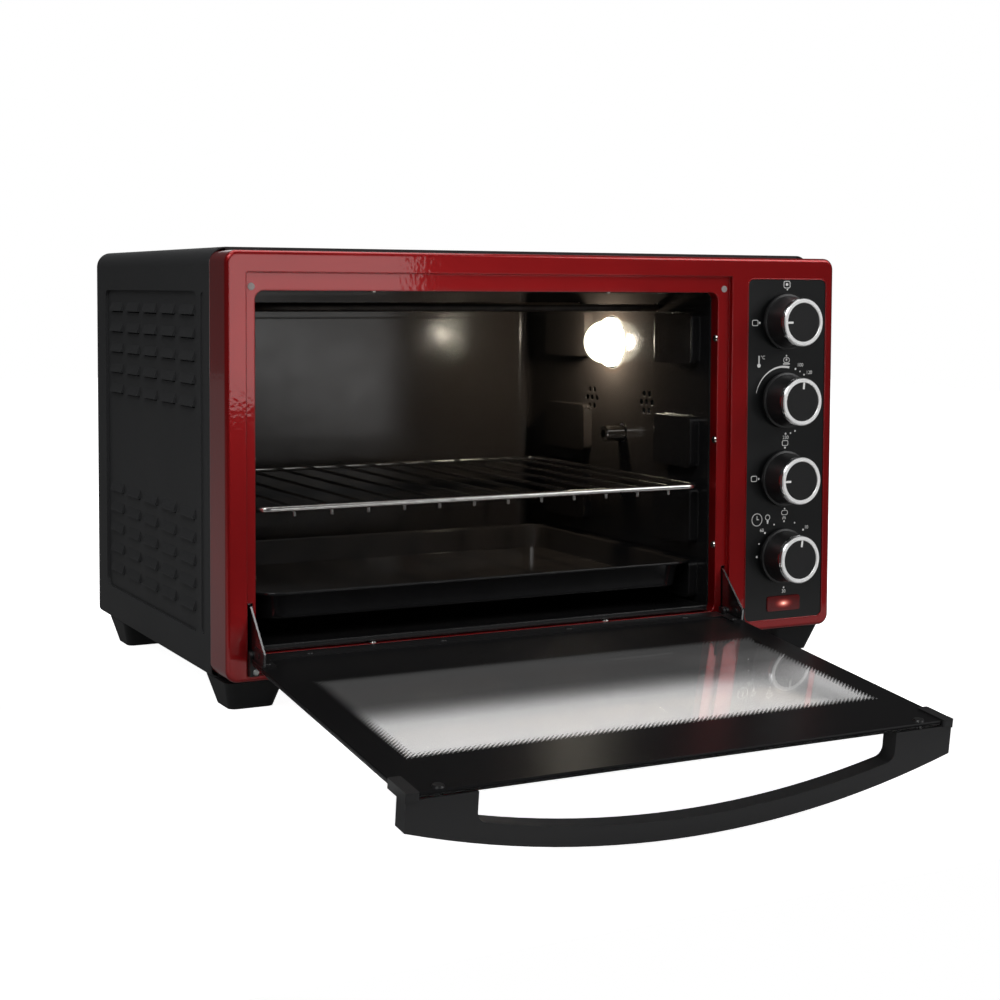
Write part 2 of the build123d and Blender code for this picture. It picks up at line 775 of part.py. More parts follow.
motor_rear = shroud_rear + motor_length
motor_neck = 16
shaft_pocket = motor_rear - 6
fan_shaft_bore = fan_shaft_radius + 0.08
with BuildPart() as fan_motor:
    turn_on_x(fan_y, fan_z, [
        (shroud_rear, fan_shaft_bore), (shroud_rear, motor_neck), (shroud_rear + 3, motor_radius),
        (motor_rear - 3, motor_radius), (motor_rear, motor_neck), (motor_rear, 0), (shaft_pocket, 0),
        (shaft_pocket, fan_shaft_bore),
    ])
fan_motor.part.label = "fan_motor"

blade_count = 10
blade_root = 9
blade_tip = 38
blade_front = outer_wall + 4
blade_rear = shroud_rear - shroud_sheet - 4
with BuildPart() as fan_impeller:
    turn_on_x(fan_y, fan_z, [
        (blade_front, 0), (blade_front, 8), (blade_rear - 1, 8), (blade_rear - 1, blade_tip),
        (blade_rear, blade_tip), (blade_rear, fan_shaft_radius),
        (shaft_pocket - 0.5, fan_shaft_radius), (shaft_pocket - 0.5, 0),
    ])
    with BuildSketch(side_plane(blade_front)) as blades:
        with Locations((fan_y, fan_z)):
            with PolarLocations((blade_root + blade_tip - 2) / 2, blade_count):
                Rectangle(blade_tip - 2 - blade_root + 3, 1.2, rotation=18)
    extrude(blades.sketch, amount=blade_rear - blade_front)
fan_impeller.part.label = "fan_impeller"

# Spit drive: gear motor on the right wall with a square socket reaching into the cavity
socket_radius = 7.5
socket_reach = 20
socket_square = 6.5
spit_case_front = outer_wall
spit_case_depth = 30

with BuildPart() as spit_motor:
    block(
        (spit_case_front, spit_case_front + spit_case_depth),
        (spit_y - 28, spit_y + 28),
        (fan_z + shroud_radius + shroud_rim + 0.5, 236),
    )
    turn_on_x(spit_y, spit_z, [
        (spit_case_front - 1, 0), (spit_case_front - 1, spit_hole - 1),
        (spit_case_front + 12, spit_hole - 1), (spit_case_front + 12, 0),
    ], Mode.SUBTRACT)
    fillet(spit_motor.edges().filter_by(Axis.X), 4)
spit_motor.part.label = "spit_motor"

with BuildPart() as spit_socket:
    turn_on_x(spit_y, spit_z, [
        (liner_right - socket_reach, 0), (liner_right - socket_reach, socket_radius - 1),
        (liner_right - socket_reach + 1, socket_radius), (spit_case_front + 11.5, socket_radius),
        (spit_case_front + 11.5, 0),
    ])
    with BuildSketch(side_plane(liner_right - socket_reach - 1)) as square:
        with Locations((spit_y, spit_z)):
            Rectangle(socket_square, socket_square)
    extrude(square.sketch, amount=17, mode=Mode.SUBTRACT)
spit_socket.part.label = "spit_socket"

# Base plate: flat sheet lying on the cabinet's flanges, with air slots
base_half = half_width - 6
base_front = frame_depth + 1
base_rear = body_depth - 3
base_sheet = 1
base_z = cabinet_bottom + cabinet_sheet

with BuildPart() as base_plate:
    block((-base_half, base_half), (base_front, base_rear), (base_z, base_z + base_sheet))
    with BuildSketch(Plane.XY.offset(base_z)):
        for x in (-120, 120):
            with Locations((x, (base_front + base_rear) / 2)):
                with GridLocations(44, 16, 3, 9):
                    SlotOverall(34, 5)
    extrude(amount=base_sheet, mode=Mode.SUBTRACT)
    with Locations([(x, y, base_z) for x, y in foot_screw_places]):
        Cylinder(screw_hole, 8, mode=Mode.SUBTRACT)
base_plate.part.label = "base_plate"

# Rear panel: sheet inside the cabinet's rear flange, its middle pressed outwards
rear_sheet = 1
rear_face = body_depth - cabinet_sheet
rear_half = half_width - cabinet_sheet - slack
rear_bottom = base_z + base_sheet
rear_top = cabinet_top - cabinet_sheet - slack
rear_field_half = 236
rear_field_bottom = 56
rear_field_top = 318
rear_press = 3
rear_z = (rear_bottom + rear_top) / 2
rear_field_z = (rear_field_bottom + rear_field_top) / 2
gland_x = 252
gland_z = 44
gland_hole = 7.5

with BuildPart() as rear_panel:
    with BuildSketch(front_plane(rear_face - rear_sheet)):
        with Locations((0, rear_z)):
            RectangleRounded(2 * rear_half, rear_top - rear_bottom, cabinet_radius)
    extrude(amount=-rear_sheet)
    with BuildSketch(front_plane(rear_face)):
        with Locations((0, rear_field_z)):
            RectangleRounded(2 * rear_field_half, rear_field_top - rear_field_bottom, 12)
    extrude(amount=-rear_press)
    with BuildSketch(front_plane(rear_face - rear_sheet)):
        with Locations((0, rear_field_z)):
            RectangleRounded(2 * rear_field_half - 2, rear_field_top - rear_field_bottom - 2, 11)
    extrude(amount=-rear_press, mode=Mode.SUBTRACT)
    with BuildSketch(front_plane(rear_face)):
        for x in (-130, 130):
            with Locations((x, 270)):
                with GridLocations(40, 14, 4, 4):
                    SlotOverall(32, 5)
        with Locations((gland_x, gland_z)):
            Circle(gland_hole)
    extrude(amount=-10, both=True, mode=Mode.SUBTRACT)
    with BuildSketch(front_plane(rear_face)):
        with Locations(rear_screw_places):
            Circle(rear_screw_radius)
    extrude(amount=10, both=True, mode=Mode.SUBTRACT)
rear_panel.part.label = "rear_panel"

with BuildPart() as cord_gland:
    turn_on_y(gland_x, gland_z, [
        (5, rear_face - 8), (gland_hole - 0.1, rear_face - 8), (gland_hole - 0.1, rear_face),
        (gland_hole + 3, rear_face), (gland_hole + 3, rear_face + 3), (gland_hole, rear_face + 7),
        (5, rear_face + 7),
    ])
cord_gland.part.label = "cord_gland"

# Screws: rear panel, reveal, feet and hinges
with BuildPart() as rear_screws:
    shank_radius = rear_screw_radius - 0.05
    for x, z in rear_screw_places:
        turn_on_y(x, z, [
            (0, body_depth + 1.8), (1.8, body_depth + 1.8), (3.2, body_depth + 0.8), (3.2, body_depth),
            (shank_radius, body_depth), (shank_radius, body_depth - 9), (0, body_depth - 9),
        ])
rear_screws.part.label = "rear_screws"

screw_head = 3.2
screw_dome = 1.0
screw_reach = 7


def reveal_screw(start, direction):
    """Domed screw whose head bears on a reveal face; direction points out of the window."""
    plane = Plane(origin=start, z_dir=direction)
    with BuildSketch(plane) as head:
        Circle(screw_head)
    extrude(head.sketch, amount=-screw_dome, taper=35)
    with BuildSketch(plane) as shank:
        Circle(reveal_screw_radius - 0.05)
    extrude(shank.sketch, amount=screw_reach)


with BuildPart() as reveal_screws:
    for x, outward in ((window_left, -1), (window_right, 1)):
        for z in side_screw_heights:
            reveal_screw((x, reveal_screw_y, z), (outward, 0, 0))
    for z, outward in ((window_bottom, -1), (window_top, 1)):
        for x in level_screw_places:
            reveal_screw((x, reveal_screw_y, z), (0, 0, outward))
reveal_screws.part.label = "reveal_screws"

# Feet: tapered black pads, screwed up into the base
foot_front = 35.6
foot_centres = [(side * foot_x, y) for side in (-1, 1) for y in (foot_front, foot_screw_rear)]
foot_tread = (36, 34)
foot_head = (48, 52)
foot_bore = 5.5
foot_bore_depth = 12
foot_radius = 6

with BuildPart() as feet:
    for x, y in foot_centres:
        with BuildSketch(Plane.XY) as tread:
            with Locations((x, y)):
                RectangleRounded(*foot_tread, foot_radius)
        with BuildSketch(Plane.XY.offset(cabinet_bottom)) as head:
            with Locations((x, y)):
                RectangleRounded(*foot_head, foot_radius)
        loft([tread.sketch, head.sketch])
    for x, y in foot_screw_places:
        with Locations((x, y, foot_bore_depth / 2)):
            Cylinder(foot_bore, foot_bore_depth, mode=Mode.SUBTRACT)
        with Locations((x, y, cabinet_bottom / 2)):
            Cylinder(screw_hole, cabinet_bottom, mode=Mode.SUBTRACT)
feet.part.label = "feet"

foot_screw_head = 4.6
foot_screw_top = base_z + base_sheet + 8
with BuildPart() as foot_screws:
    for x, y in foot_screw_places:
        with Locations((x, y, foot_bore_depth - 1.5)):
            Cylinder(foot_screw_head, 3)
        with Locations((x, y, (foot_bore_depth + foot_screw_top) / 2)):
            Cylinder(screw_hole - 0.1, foot_screw_top - foot_bore_depth)
        with Locations((x, y, base_z + base_sheet + 2)):
            Cylinder(4.5, 4)
foot_screws.part.label = "foot_screws"

# Rubber bumpers: low pads in the recess corners, just behind the closed door's corner clips
bumper_radius = 2.8
bumper_front = recess_depth - 0.5
bumper_places = ((-258.5, 321), (166.6, 321))
with BuildPart() as door_bumpers:
    for x, z in bumper_places:
        turn_on_y(x, z, [
            (0, recess_depth), (bumper_radius, recess_depth), (bumper_radius, bumper_front + 0.2),
            (bumper_radius - 0.4, bumper_front), (0, bumper_front),
        ])
door_bumpers.part.label = "door_bumpers"

# Hinges: black bearing blocks on the frame, pins, and stays that turn with the door
stay_x = -259.5
stay_sheet = 1.5
tab_sheet = 1.2
bearing_left = -263
bearing_right = -255.8
bearing_bottom = 28.9
bearing_top = 48
bearing_front = -4
bearing_gap = 0.4
pin_radius = 2
pin_running_fit = 0.05
hinge_screw_z = 32
hinge_screw_x = -258.2


def both_hinges():
    """Copy what the builder holds to the other hinge, about the middle of the door."""
    mirror(about=Plane.YZ.offset(recess_x))


with BuildPart() as hinge_bearings:
    block((bearing_left, bearing_right), (bearing_front, recess_depth), (bearing_bottom, bearing_top))
    front_top = hinge_bearings.edges().filter_by(Axis.X).group_by(Axis.Y)[0].sort_by(Axis.Z)[-1]
    fillet(front_top, 4.5)
    block(
        (stay_x - stay_sheet / 2 - bearing_gap, stay_x + stay_sheet / 2 + bearing_gap),
        (bearing_front - 1, recess_depth + 1),
        (stay_slot_bottom, bearing_top + 1),
        Mode.SUBTRACT,
    )
    pin_bore = pin_radius + 0.02
    turn_on_x(pivot_y, pivot_z, [
        (bearing_left - 1, 0), (bearing_right + 1, 0),
        (bearing_right + 1, pin_bore), (bearing_left - 1, pin_bore),
    ], Mode.SUBTRACT)
    turn_on_y(hinge_screw_x, hinge_screw_z, [
        (0, bearing_front - 1), (1.3, bearing_front - 1), (1.3, recess_depth + 1), (0, recess_depth + 1),
    ], Mode.SUBTRACT)
    both_hinges()
hinge_bearings.part.label = "hinge_bearings"

with BuildPart() as hinge_pins:
    pin_start = bearing_left + 0.2
    pin_end = bearing_right - 0.2
    pin_outline = [(pin_start, 0), (pin_end, 0), (pin_end, pin_radius), (pin_start, pin_radius)]
    turn_on_x(pivot_y, pivot_z, pin_outline)
    both_hinges()
hinge_pins.part.label = "hinge_pins"

with BuildPart() as hinge_screws:
    turn_on_y(hinge_screw_x, hinge_screw_z, [
        (0, bearing_front - 1.2), (1.6, bearing_front - 1.2), (2.4, bearing_front - 0.4),
        (2.4, bearing_front), (1.25, bearing_front), (1.25, recess_depth), (0, recess_depth),
    ])
    both_hinges()
hinge_screws.part.label = "hinge_screws"

# Door glass: one tempered pane, notched at the hinges
door_width = recess_width - 2.8
door_half = door_width / 2
notch = 9
glass_edge = 0.7
strip_depth = 12.3
strip_sheet = 1.2
strip_start = -1
flange_end = 28
flange_width = 12
handle_screw_s = 280
handle_screw_x = 192
glass_hole = 2.6
strip_rivet_x = (-170, -57, 57, 170)
strip_rivet_s = 6
rivet_radius = 1.8
flange_rivet_s = 22
flange_rivet_x = door_half - 7


def door_point(x, s):
    """Place on the door's plane: x from the door's middle, s from the hinge towards the free edge."""
    return (recess_x + x, -s)


def notched_outline(far):
    """Closed outline of the pane or strip from the hinge edge out to far, clear of both bearings."""
    return [
        door_point(-door_half, notch - 1), door_point(-door_half, far), door_point(door_half, far),
        door_point(door_half, notch - 1), door_point(door_half - notch, notch - 1),
        door_point(door_half - notch, strip_start), door_point(-door_half + notch, strip_start),
        door_point(-door_half + notch, notch - 1),
    ]


pane_holes = (
    [door_point(side * handle_screw_x, handle_screw_s) for side in (-1, 1)]
    + [door_point(x, strip_rivet_s) for x in strip_rivet_x]
    + [door_point(side * flange_rivet_x, flange_rivet_s) for side in (-1, 1)]
)

with BuildPart() as door_glass:
    with BuildSketch(door_plane.offset(-glass_thickness)):
        Polygon(notched_outline(glass_height - 1), align=None)
    extrude(amount=glass_thickness)
    by_height = door_glass.faces().sort_by(Axis((0, 0, 0), glass_up))
    chamfer(by_height[0].edges() + by_height[-1].edges(), glass_edge)
    with BuildSketch(door_plane.offset(-glass_thickness)):
        with Locations(pane_holes):
            Circle(glass_hole)
    extrude(amount=glass_thickness, mode=Mode.SUBTRACT)
door_glass.part.label = "door_glass"

# Hinge strip along the pane, with an upturned tab for each stay
tab_height = 11
tab_x = stay_x - stay_sheet / 2 - tab_sheet / 2
stay_rivet_s = 17.6
stay_rivet_h = 6
stay_rivet_radius = 2

with BuildPart() as hinge_strip:
    with BuildSketch(door_plane):
        Polygon(notched_outline(strip_depth), align=None)
        for side in (-1, 1):
            with Locations(door_point(side * (door_half - flange_width / 2), (flange_end + notch) / 2)):
                Rectangle(flange_width, flange_end - notch + 2)
    extrude(amount=strip_sheet)
    with BuildSketch(door_section(tab_x)) as tab:
        with Locations(((notch + flange_end) / 2, tab_height / 2)):
            Rectangle(flange_end - notch, tab_height)
        with Locations((stay_rivet_s, stay_rivet_h)):
            Circle(stay_rivet_radius + 0.05, mode=Mode.SUBTRACT)
    extrude(tab.sketch, amount=tab_sheet / 2, both=True)
    with BuildSketch(door_section(2 * recess_x - tab_x)) as far_tab:
        add(tab.sketch_local)
    extrude(far_tab.sketch, amount=tab_sheet / 2, both=True)
    with BuildSketch(door_plane):
        with Locations(pane_holes):
            Circle(rivet_radius + 0.05)
    extrude(amount=strip_sheet, mode=Mode.SUBTRACT)
hinge_strip.part.label = "hinge_strip"

stay_outline = [
    (flange_end, strip_sheet + 0.1), (flange_end, 9.9), (-5.5, 37.6), (-8.7, 38.5), (-9.2, 43), (-13.5, 43),
    (-13.5, 34), (-3, 3), (5, 0.5), (7, strip_sheet + 0.1),
]
stay_lobe = 5

with BuildPart() as door_stays:
    for x in (stay_x, 2 * recess_x - stay_x):
        with BuildSketch(door_section(x)) as plate:
            Polygon(stay_outline, align=None)
            Circle(stay_lobe)
            Circle(pin_radius + pin_running_fit, mode=Mode.SUBTRACT)
            with Locations((stay_rivet_s, stay_rivet_h)):
                Circle(stay_rivet_radius + 0.05, mode=Mode.SUBTRACT)
        extrude(plate.sketch, amount=stay_sheet / 2, both=True)
door_stays.part.label = "door_stays"

with BuildPart() as door_rivets:
    for x, y in pane_holes[2:]:
        with BuildSketch(door_plane.offset(strip_sheet)) as rivet_head:
            with Locations((x, y)):
                Circle(rivet_radius + 1.4)
        extrude(rivet_head.sketch, amount=0.5, taper=30)
        with BuildSketch(door_plane.offset(-glass_thickness + 0.5)) as rivet_shank:
            with Locations((x, y)):
                Circle(rivet_radius)
        extrude(rivet_shank.sketch, amount=glass_thickness + strip_sheet - 0.5)
    for side in (1, -1):
        x = stay_x if side == 1 else 2 * recess_x - stay_x
        with BuildSketch(door_section(x)) as rivet:
            with Locations((stay_rivet_s, stay_rivet_h)):
                Circle(stay_rivet_radius)
        extrude(rivet.sketch, amount=side * (stay_sheet / 2 + tab_sheet))
        extrude(rivet.sketch, amount=-side * stay_sheet / 2)
        with BuildSketch(door_section(x + side * stay_sheet / 2)) as head:
            with Locations((stay_rivet_s, stay_rivet_h)):
                Circle(stay_rivet_radius + 1)
        extrude(head.sketch, amount=-side * 0.6)
door_rivets.part.label = "door_rivets"

# Handle: bowed bar with an end block at each side, screwed on through the pane
handle_start = 273
handle_end = 287
handle_half = door_half + 0.4
handle_block = 25
bow_reach = 57.5
bar_depth = 14
finger_half = 166.5
finger_corner = 8
bow_radius = ((bow_reach - handle_block) ** 2 + handle_half**2) / (2 * (bow_reach - handle_block))
bow_centre = bow_radius - bow_reach
handle_screw_radius = 2

handle_plane = Plane(
    origin=(recess_x, pivot_y + handle_start * forward[1], pivot_z + handle_start * forward[2]),
    x_dir=(1, 0, 0),
    z_dir=forward,
)

with BuildPart() as door_handle:
    with BuildSketch(handle_plane) as bow:
        with BuildLine():
            bar = ThreePointArc((-handle_half, -handle_block), (0, -bow_reach), (handle_half, -handle_block))
            Polyline(bar @ 1, (handle_half, -glass_thickness), (-handle_half, -glass_thickness), bar @ 0)
        make_face()
        inner_radius = bow_radius - bar_depth
        inner_drop = bow_centre - (inner_radius**2 - finger_half**2) ** 0.5
        with BuildLine():
            inner_bar = ThreePointArc(
                (-finger_half, inner_drop), (0, bow_centre - inner_radius), (finger_half, inner_drop)
            )
            roots = ((finger_half, -glass_thickness), (-finger_half, -glass_thickness))
            Polyline(inner_bar @ 1, *roots, inner_bar @ 0)
        make_face(mode=Mode.SUBTRACT)
        corners = bow.vertices().filter_by(lambda corner: abs(abs(corner.X) - finger_half) < 0.1)
        fillet(corners.sort_by(Axis.Y)[:2], finger_corner)
    extrude(amount=handle_end - handle_start)
    with BuildSketch(door_plane.offset(-glass_thickness)):
        with Locations(*pane_holes[:2]):
            Circle(handle_screw_radius)
    extrude(amount=-14, mode=Mode.SUBTRACT)
door_handle.part.label = "door_handle"

with BuildPart() as handle_screws:
    for x, y in pane_holes[:2]:
        with BuildSketch(door_plane) as screw_top:
            with Locations((x, y)):
                Circle(4.4)
        extrude(screw_top.sketch, amount=1.3, taper=30)
        with BuildSketch(door_plane.offset(-glass_thickness - 12)) as screw_shank:
            with Locations((x, y)):
                Circle(handle_screw_radius - 0.05)
        extrude(screw_shank.sketch, amount=glass_thickness + 12)
handle_screws.part.label = "handle_screws"

# Corner clips that wrap the pane's two free corners
clip_start = 259
clip_end = glass_height + 1.5
clip_depth = 9.3
clip_side = 1.0
clip_top = 1.2
clip_under = 5.5

with BuildPart() as corner_clips:
    with BuildSketch(door_plane.offset(-clip_under)):
        with Locations(door_point(-door_half - clip_side + clip_depth / 2, (clip_start + clip_end) / 2)):
            RectangleRounded(clip_depth, clip_end - clip_start, 1.5)
    extrude(amount=clip_under + clip_top)
    with BuildSketch(door_plane.offset(-glass_thickness)):
        with Locations(door_point(0, glass_height / 2 - 1)):
            Rectangle(door_width + 0.1, glass_height + 0.1)
    extrude(amount=glass_thickness, mode=Mode.SUBTRACT)
    with BuildSketch(door_plane.offset(-glass_thickness)):
        with Locations(door_point(0, handle_start - 0.2 + 20)):
            Rectangle(2 * handle_half + 0.2, 40)
    extrude(amount=-clip_under, mode=Mode.SUBTRACT)
    both_hinges()
corner_clips.part.label = "corner_clips"

# Wire rack: welded frame with twelve cross wires, lying on the ledges
rack_half = liner_half - 7
rack_x = (liner_left + liner_right) / 2
rack_front = 20
rack_rear = 312
rack_rail = 2.5
rack_z = ledge_heights[1][1] + slack + rack_rail
rack_wire = 1.4
rack_pitch = 31
rack_wires = 12
rack_bend = 10
wire_first = rack_x - rack_pitch * (rack_wires - 1) / 2

with BuildPart() as wire_rack:
    with BuildLine(Plane.XY.offset(rack_z)) as rail_path:
        rail = FilletPolyline(
            (rack_x - rack_half, rack_front), (rack_x + rack_half, rack_front),
            (rack_x + rack_half, rack_rear), (rack_x - rack_half, rack_rear),
            radius=rack_bend, close=True,
        )
    with BuildSketch(Plane(origin=rail @ 0, z_dir=rail % 0)) as rail_bar:
        Circle(rack_rail)
    sweep(rail_bar.sketch, path=rail_path.line)
    for number in range(rack_wires):
        x = wire_first + number * rack_pitch
        with BuildLine(Plane(origin=(x, 0, 0), x_dir=(0, 1, 0), z_dir=(1, 0, 0))) as wire_path:
            wire = FilletPolyline(
                (rack_front + 1, rack_z - rack_rail - 3.5),
                (rack_front + 1, rack_z + 1),
                (rack_rear, rack_z + 1),
                radius=3,
            )
        with BuildSketch(Plane(origin=wire @ 0, z_dir=wire % 0)) as wire_bar:
            Circle(rack_wire)
        sweep(wire_bar.sketch, path=wire_path.line)
wire_rack.part.label = "wire_rack"

# Baking tray: drawn pan hung by its rim on the lowest ledges
tray_rim_half = liner_half - 2
tray_half = tray_rim_half - 10
tray_front = 20
tray_rear = 300
tray_rim = 7
tray_hem = 1.5
tray_hem_height = 2
tray_z = ledge_heights[0][1] + slack
tray_depth = 21
tray_sheet = 0.8
tray_corner = 22
tray_y = (tray_front + tray_rear) / 2
tray_length = tray_rear - tray_front
tray_slope = 12

with BuildPart() as baking_tray:
    with BuildSketch(Plane.XY.offset(tray_z)):
        with Locations((rack_x, tray_y)):
            RectangleRounded(2 * tray_rim_half, tray_length, tray_corner + tray_rim)
    extrude(amount=tray_sheet)
    # hem curled up round the rim
    with BuildSketch(Plane.XY.offset(tray_z)):
        with Locations((rack_x, tray_y)):
            for inset, mode in ((0, Mode.ADD), (tray_hem, Mode.SUBTRACT)):
                hem_width = 2 * (tray_rim_half - inset)
                hem_length = tray_length - 2 * inset
                RectangleRounded(hem_width, hem_length, tray_corner + tray_rim - inset, mode=mode)
    extrude(amount=tray_hem_height)
    with BuildSketch(Plane.XY.offset(tray_z + tray_sheet)):
        with Locations((rack_x, tray_y)):
            RectangleRounded(2 * tray_half, tray_length - 2 * tray_rim, tray_corner)
    extrude(amount=-tray_depth, taper=tray_slope)
    with BuildSketch(Plane.XY.offset(tray_z + tray_sheet)):
        with Locations((rack_x, tray_y)):
            inner_length = tray_length - 2 * (tray_rim + tray_sheet)
            RectangleRounded(2 * (tray_half - tray_sheet), inner_length, tray_corner - tray_sheet)
    extrude(amount=-(tray_depth - tray_sheet), taper=tray_slope, mode=Mode.SUBTRACT)
baking_tray.part.label = "baking_tray"

# Crumb tray: shallow pan sliding on the cavity floor
crumb_half = liner_half - 5.5
crumb_front = 7
crumb_rear = 330
crumb_floor = 45.6
crumb_top = 49.5
crumb_sheet = 0.8

with BuildPart() as crumb_tray:
    block((rack_x - crumb_half, rack_x + crumb_half), (crumb_front, crumb_rear), (crumb_floor, crumb_top))
    block(
        (rack_x - crumb_half + crumb_sheet, rack_x + crumb_half - crumb_sheet),
        (crumb_front + crumb_sheet, crumb_rear - crumb_sheet),
        (crumb_floor + crumb_sheet, crumb_top + 1),
        Mode.SUBTRACT,
    )
    for side in (-1, 1):
        edge = rack_x + side * crumb_half
        block(sorted((edge, edge - side * crumb_sheet)), (crumb_front, crumb_rear),
              (liner_floor + slack, crumb_floor + 1))
crumb_tray.part.label = "crumb_tray"

# Files
pieces = [
    cabinet.part, front_frame.part, control_panel.part, control_bracket.part, *controls.values(),
    *knob_pieces.values(), indicator_lens.part, indicator_lamp.part, liner_plates.part, liner_back.part,
    liner_collar.part, liner_left_side.part, liner_right_side.part, heater_top, heater_bottom,
    heater_beads.part, heater_clips.part, lamp_glass.part, lamp_holder.part, lamp_bulb.part, fan_shroud.part,
    fan_motor.part, fan_impeller.part, spit_motor.part, spit_socket.part, base_plate.part, rear_panel.part,
    cord_gland.part, rear_screws.part, reveal_screws.part, feet.part, foot_screws.part, door_bumpers.part,
    hinge_bearings.part, hinge_pins.part, hinge_screws.part, door_glass.part, hinge_strip.part,
    door_rivets.part, door_stays.part, door_handle.part, handle_screws.part, corner_clips.part,
    wire_rack.part, baking_tray.part, crumb_tray.part,
]
os.makedirs("parts", exist_ok=True)
for piece in pieces:
    export_step(piece, f"parts/{piece.label}.step")
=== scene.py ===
import math

import bmesh
import bpy
from mathutils import Euler, Matrix, Vector


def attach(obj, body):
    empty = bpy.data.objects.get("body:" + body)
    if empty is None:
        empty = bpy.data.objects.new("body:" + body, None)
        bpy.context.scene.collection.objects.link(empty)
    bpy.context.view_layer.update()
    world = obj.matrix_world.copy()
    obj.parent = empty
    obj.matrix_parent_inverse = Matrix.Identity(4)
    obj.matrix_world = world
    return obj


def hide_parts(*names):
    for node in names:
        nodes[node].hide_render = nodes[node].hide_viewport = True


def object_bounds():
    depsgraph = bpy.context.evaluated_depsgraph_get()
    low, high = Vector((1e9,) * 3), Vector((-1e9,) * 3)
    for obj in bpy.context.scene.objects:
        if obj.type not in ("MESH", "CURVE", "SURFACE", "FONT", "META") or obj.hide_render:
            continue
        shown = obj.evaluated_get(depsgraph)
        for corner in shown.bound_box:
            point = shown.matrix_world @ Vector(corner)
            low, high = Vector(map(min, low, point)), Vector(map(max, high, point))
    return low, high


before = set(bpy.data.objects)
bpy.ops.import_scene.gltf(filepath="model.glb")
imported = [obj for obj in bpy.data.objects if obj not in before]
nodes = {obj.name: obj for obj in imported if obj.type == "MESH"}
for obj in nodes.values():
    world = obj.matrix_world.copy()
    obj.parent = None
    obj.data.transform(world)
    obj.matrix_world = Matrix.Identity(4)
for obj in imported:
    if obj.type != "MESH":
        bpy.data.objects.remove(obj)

# Camera: a long lens in front of the oven and well to its left, a little below the height of its top.
# Its place, turn and shift were fitted to the photograph. Depth of field stays off.
cad_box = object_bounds()
mm = 0.001
camera_place = (-0.71567, -1.27075, 0.31961)
camera_heading = math.radians(-27.65)
camera_pitch = math.radians(-3.31)
camera_roll = math.radians(0.30)

camera_data = bpy.data.cameras.new("camera")
camera_data.sensor_width = 36
camera_data.lens = 64.76
camera_data.shift_x = -0.0012
camera_data.shift_y = -0.1064
camera = bpy.data.objects.new("camera", camera_data)
bpy.context.scene.collection.objects.link(camera)
aimed = Euler((math.pi / 2 + camera_pitch, 0, camera_heading)).to_matrix()
turn = aimed @ Matrix.Rotation(camera_roll, 3, "Z")
camera.matrix_world = Matrix.Translation(camera_place) @ turn.to_4x4()
bpy.context.scene.camera = camera
bpy.context.scene.view_settings.view_transform = "Standard"


# Studio: the oven stands on a white table near its front edge, with a lower white floor under the handle.
# The surround is white to the camera, through glass and in mirrors that face it, and a dim grey elsewhere.
def linear(code):
    """Linear red, green, blue and alpha of an sRGB hex colour."""
    channels = [int(code[i:i + 2], 16) / 255 for i in (1, 3, 5)]
    return (*[c / 12.92 if c <= 0.04045 else ((c + 0.055) / 1.055) ** 2.4 for c in channels], 1)


def add(tree, kind, settings=None, **sockets):
    """Add one node with its settings; a socket value is a number, a colour or another node's output."""
    node = tree.nodes.new(kind)
    for name, value in (settings or {}).items():
        setattr(node, name, value)
    for name, value in sockets.items():
        key = int(name[1:]) if name[0] == "i" and name[1:].isdigit() else name.replace("_", " ")
        if isinstance(value, bpy.types.NodeSocket):
            tree.links.new(value, node.inputs[key])
        else:
            node.inputs[key].default_value = value
    return node


def new_material(name):
    """Empty node material; returns it with its tree."""
    material = bpy.data.materials.new(name)
    material.use_nodes = True
    material.node_tree.nodes.clear()
    return material, material.node_tree


def finish_material(material, shader):
    """Join a shader to the material's output."""
    output = material.node_tree.nodes.new("ShaderNodeOutputMaterial")
    material.node_tree.links.new(shader, output.inputs["Surface"])


def dress(material, *names):
    """Give a material to CAD nodes."""
    for name in names:
        mesh = nodes[name].data
        mesh.materials.clear()
        mesh.materials.append(material)


def keep_mesh(name, shape, material):
    """Store a bmesh as an object at the origin."""
    mesh = bpy.data.meshes.new(name)
    shape.to_mesh(mesh)
    shape.free()
    mesh.materials.append(material)
    piece = bpy.data.objects.new(name, mesh)
    bpy.context.scene.collection.objects.link(piece)
    return piece


# mirrors see a white card behind the oven: full within 10 degrees of its heading, gone past 22
card_heading = math.radians(18)
card_edge, card_middle = 0.93, 0.985
surround_level = 0.3
mirror_level = 0.05
world = bpy.data.worlds.new("surround")
bpy.context.scene.world = world
world.use_nodes = True
world.node_tree.nodes.clear()
tree = world.node_tree
rays = add(tree, "ShaderNodeLightPath")
direction = add(tree, "ShaderNodeTexCoord").outputs["Generated"]
ahead = (math.sin(card_heading), math.cos(card_heading), 0)
facing = add(tree, "ShaderNodeVectorMath", {"operation": "DOT_PRODUCT"}, i0=direction, i1=ahead)
behind_oven = add(tree, "ShaderNodeMapRange", Value=facing.outputs["Value"], From_Min=card_edge,
                  From_Max=card_middle)
mirrored = add(tree, "ShaderNodeMath", {"operation": "MULTIPLY"}, i0=rays.outputs["Is Glossy Ray"],
               i1=behind_oven.outputs[0])
direct = add(tree, "ShaderNodeMath", {"operation": "MAXIMUM"}, i0=rays.outputs["Is Camera Ray"],
             i1=rays.outputs["Is Transmission Ray"])
seen = add(tree, "ShaderNodeMath", {"operation": "MAXIMUM"}, i0=direct.outputs[0], i1=mirrored.outputs[0])
unlit = add(tree, "ShaderNodeMapRange", Value=rays.outputs["Is Glossy Ray"], To_Min=surround_level,
            To_Max=mirror_level)
strength = add(tree, "ShaderNodeMath", {"operation": "MAXIMUM"}, i0=seen.outputs[0], i1=unlit.outputs[0])
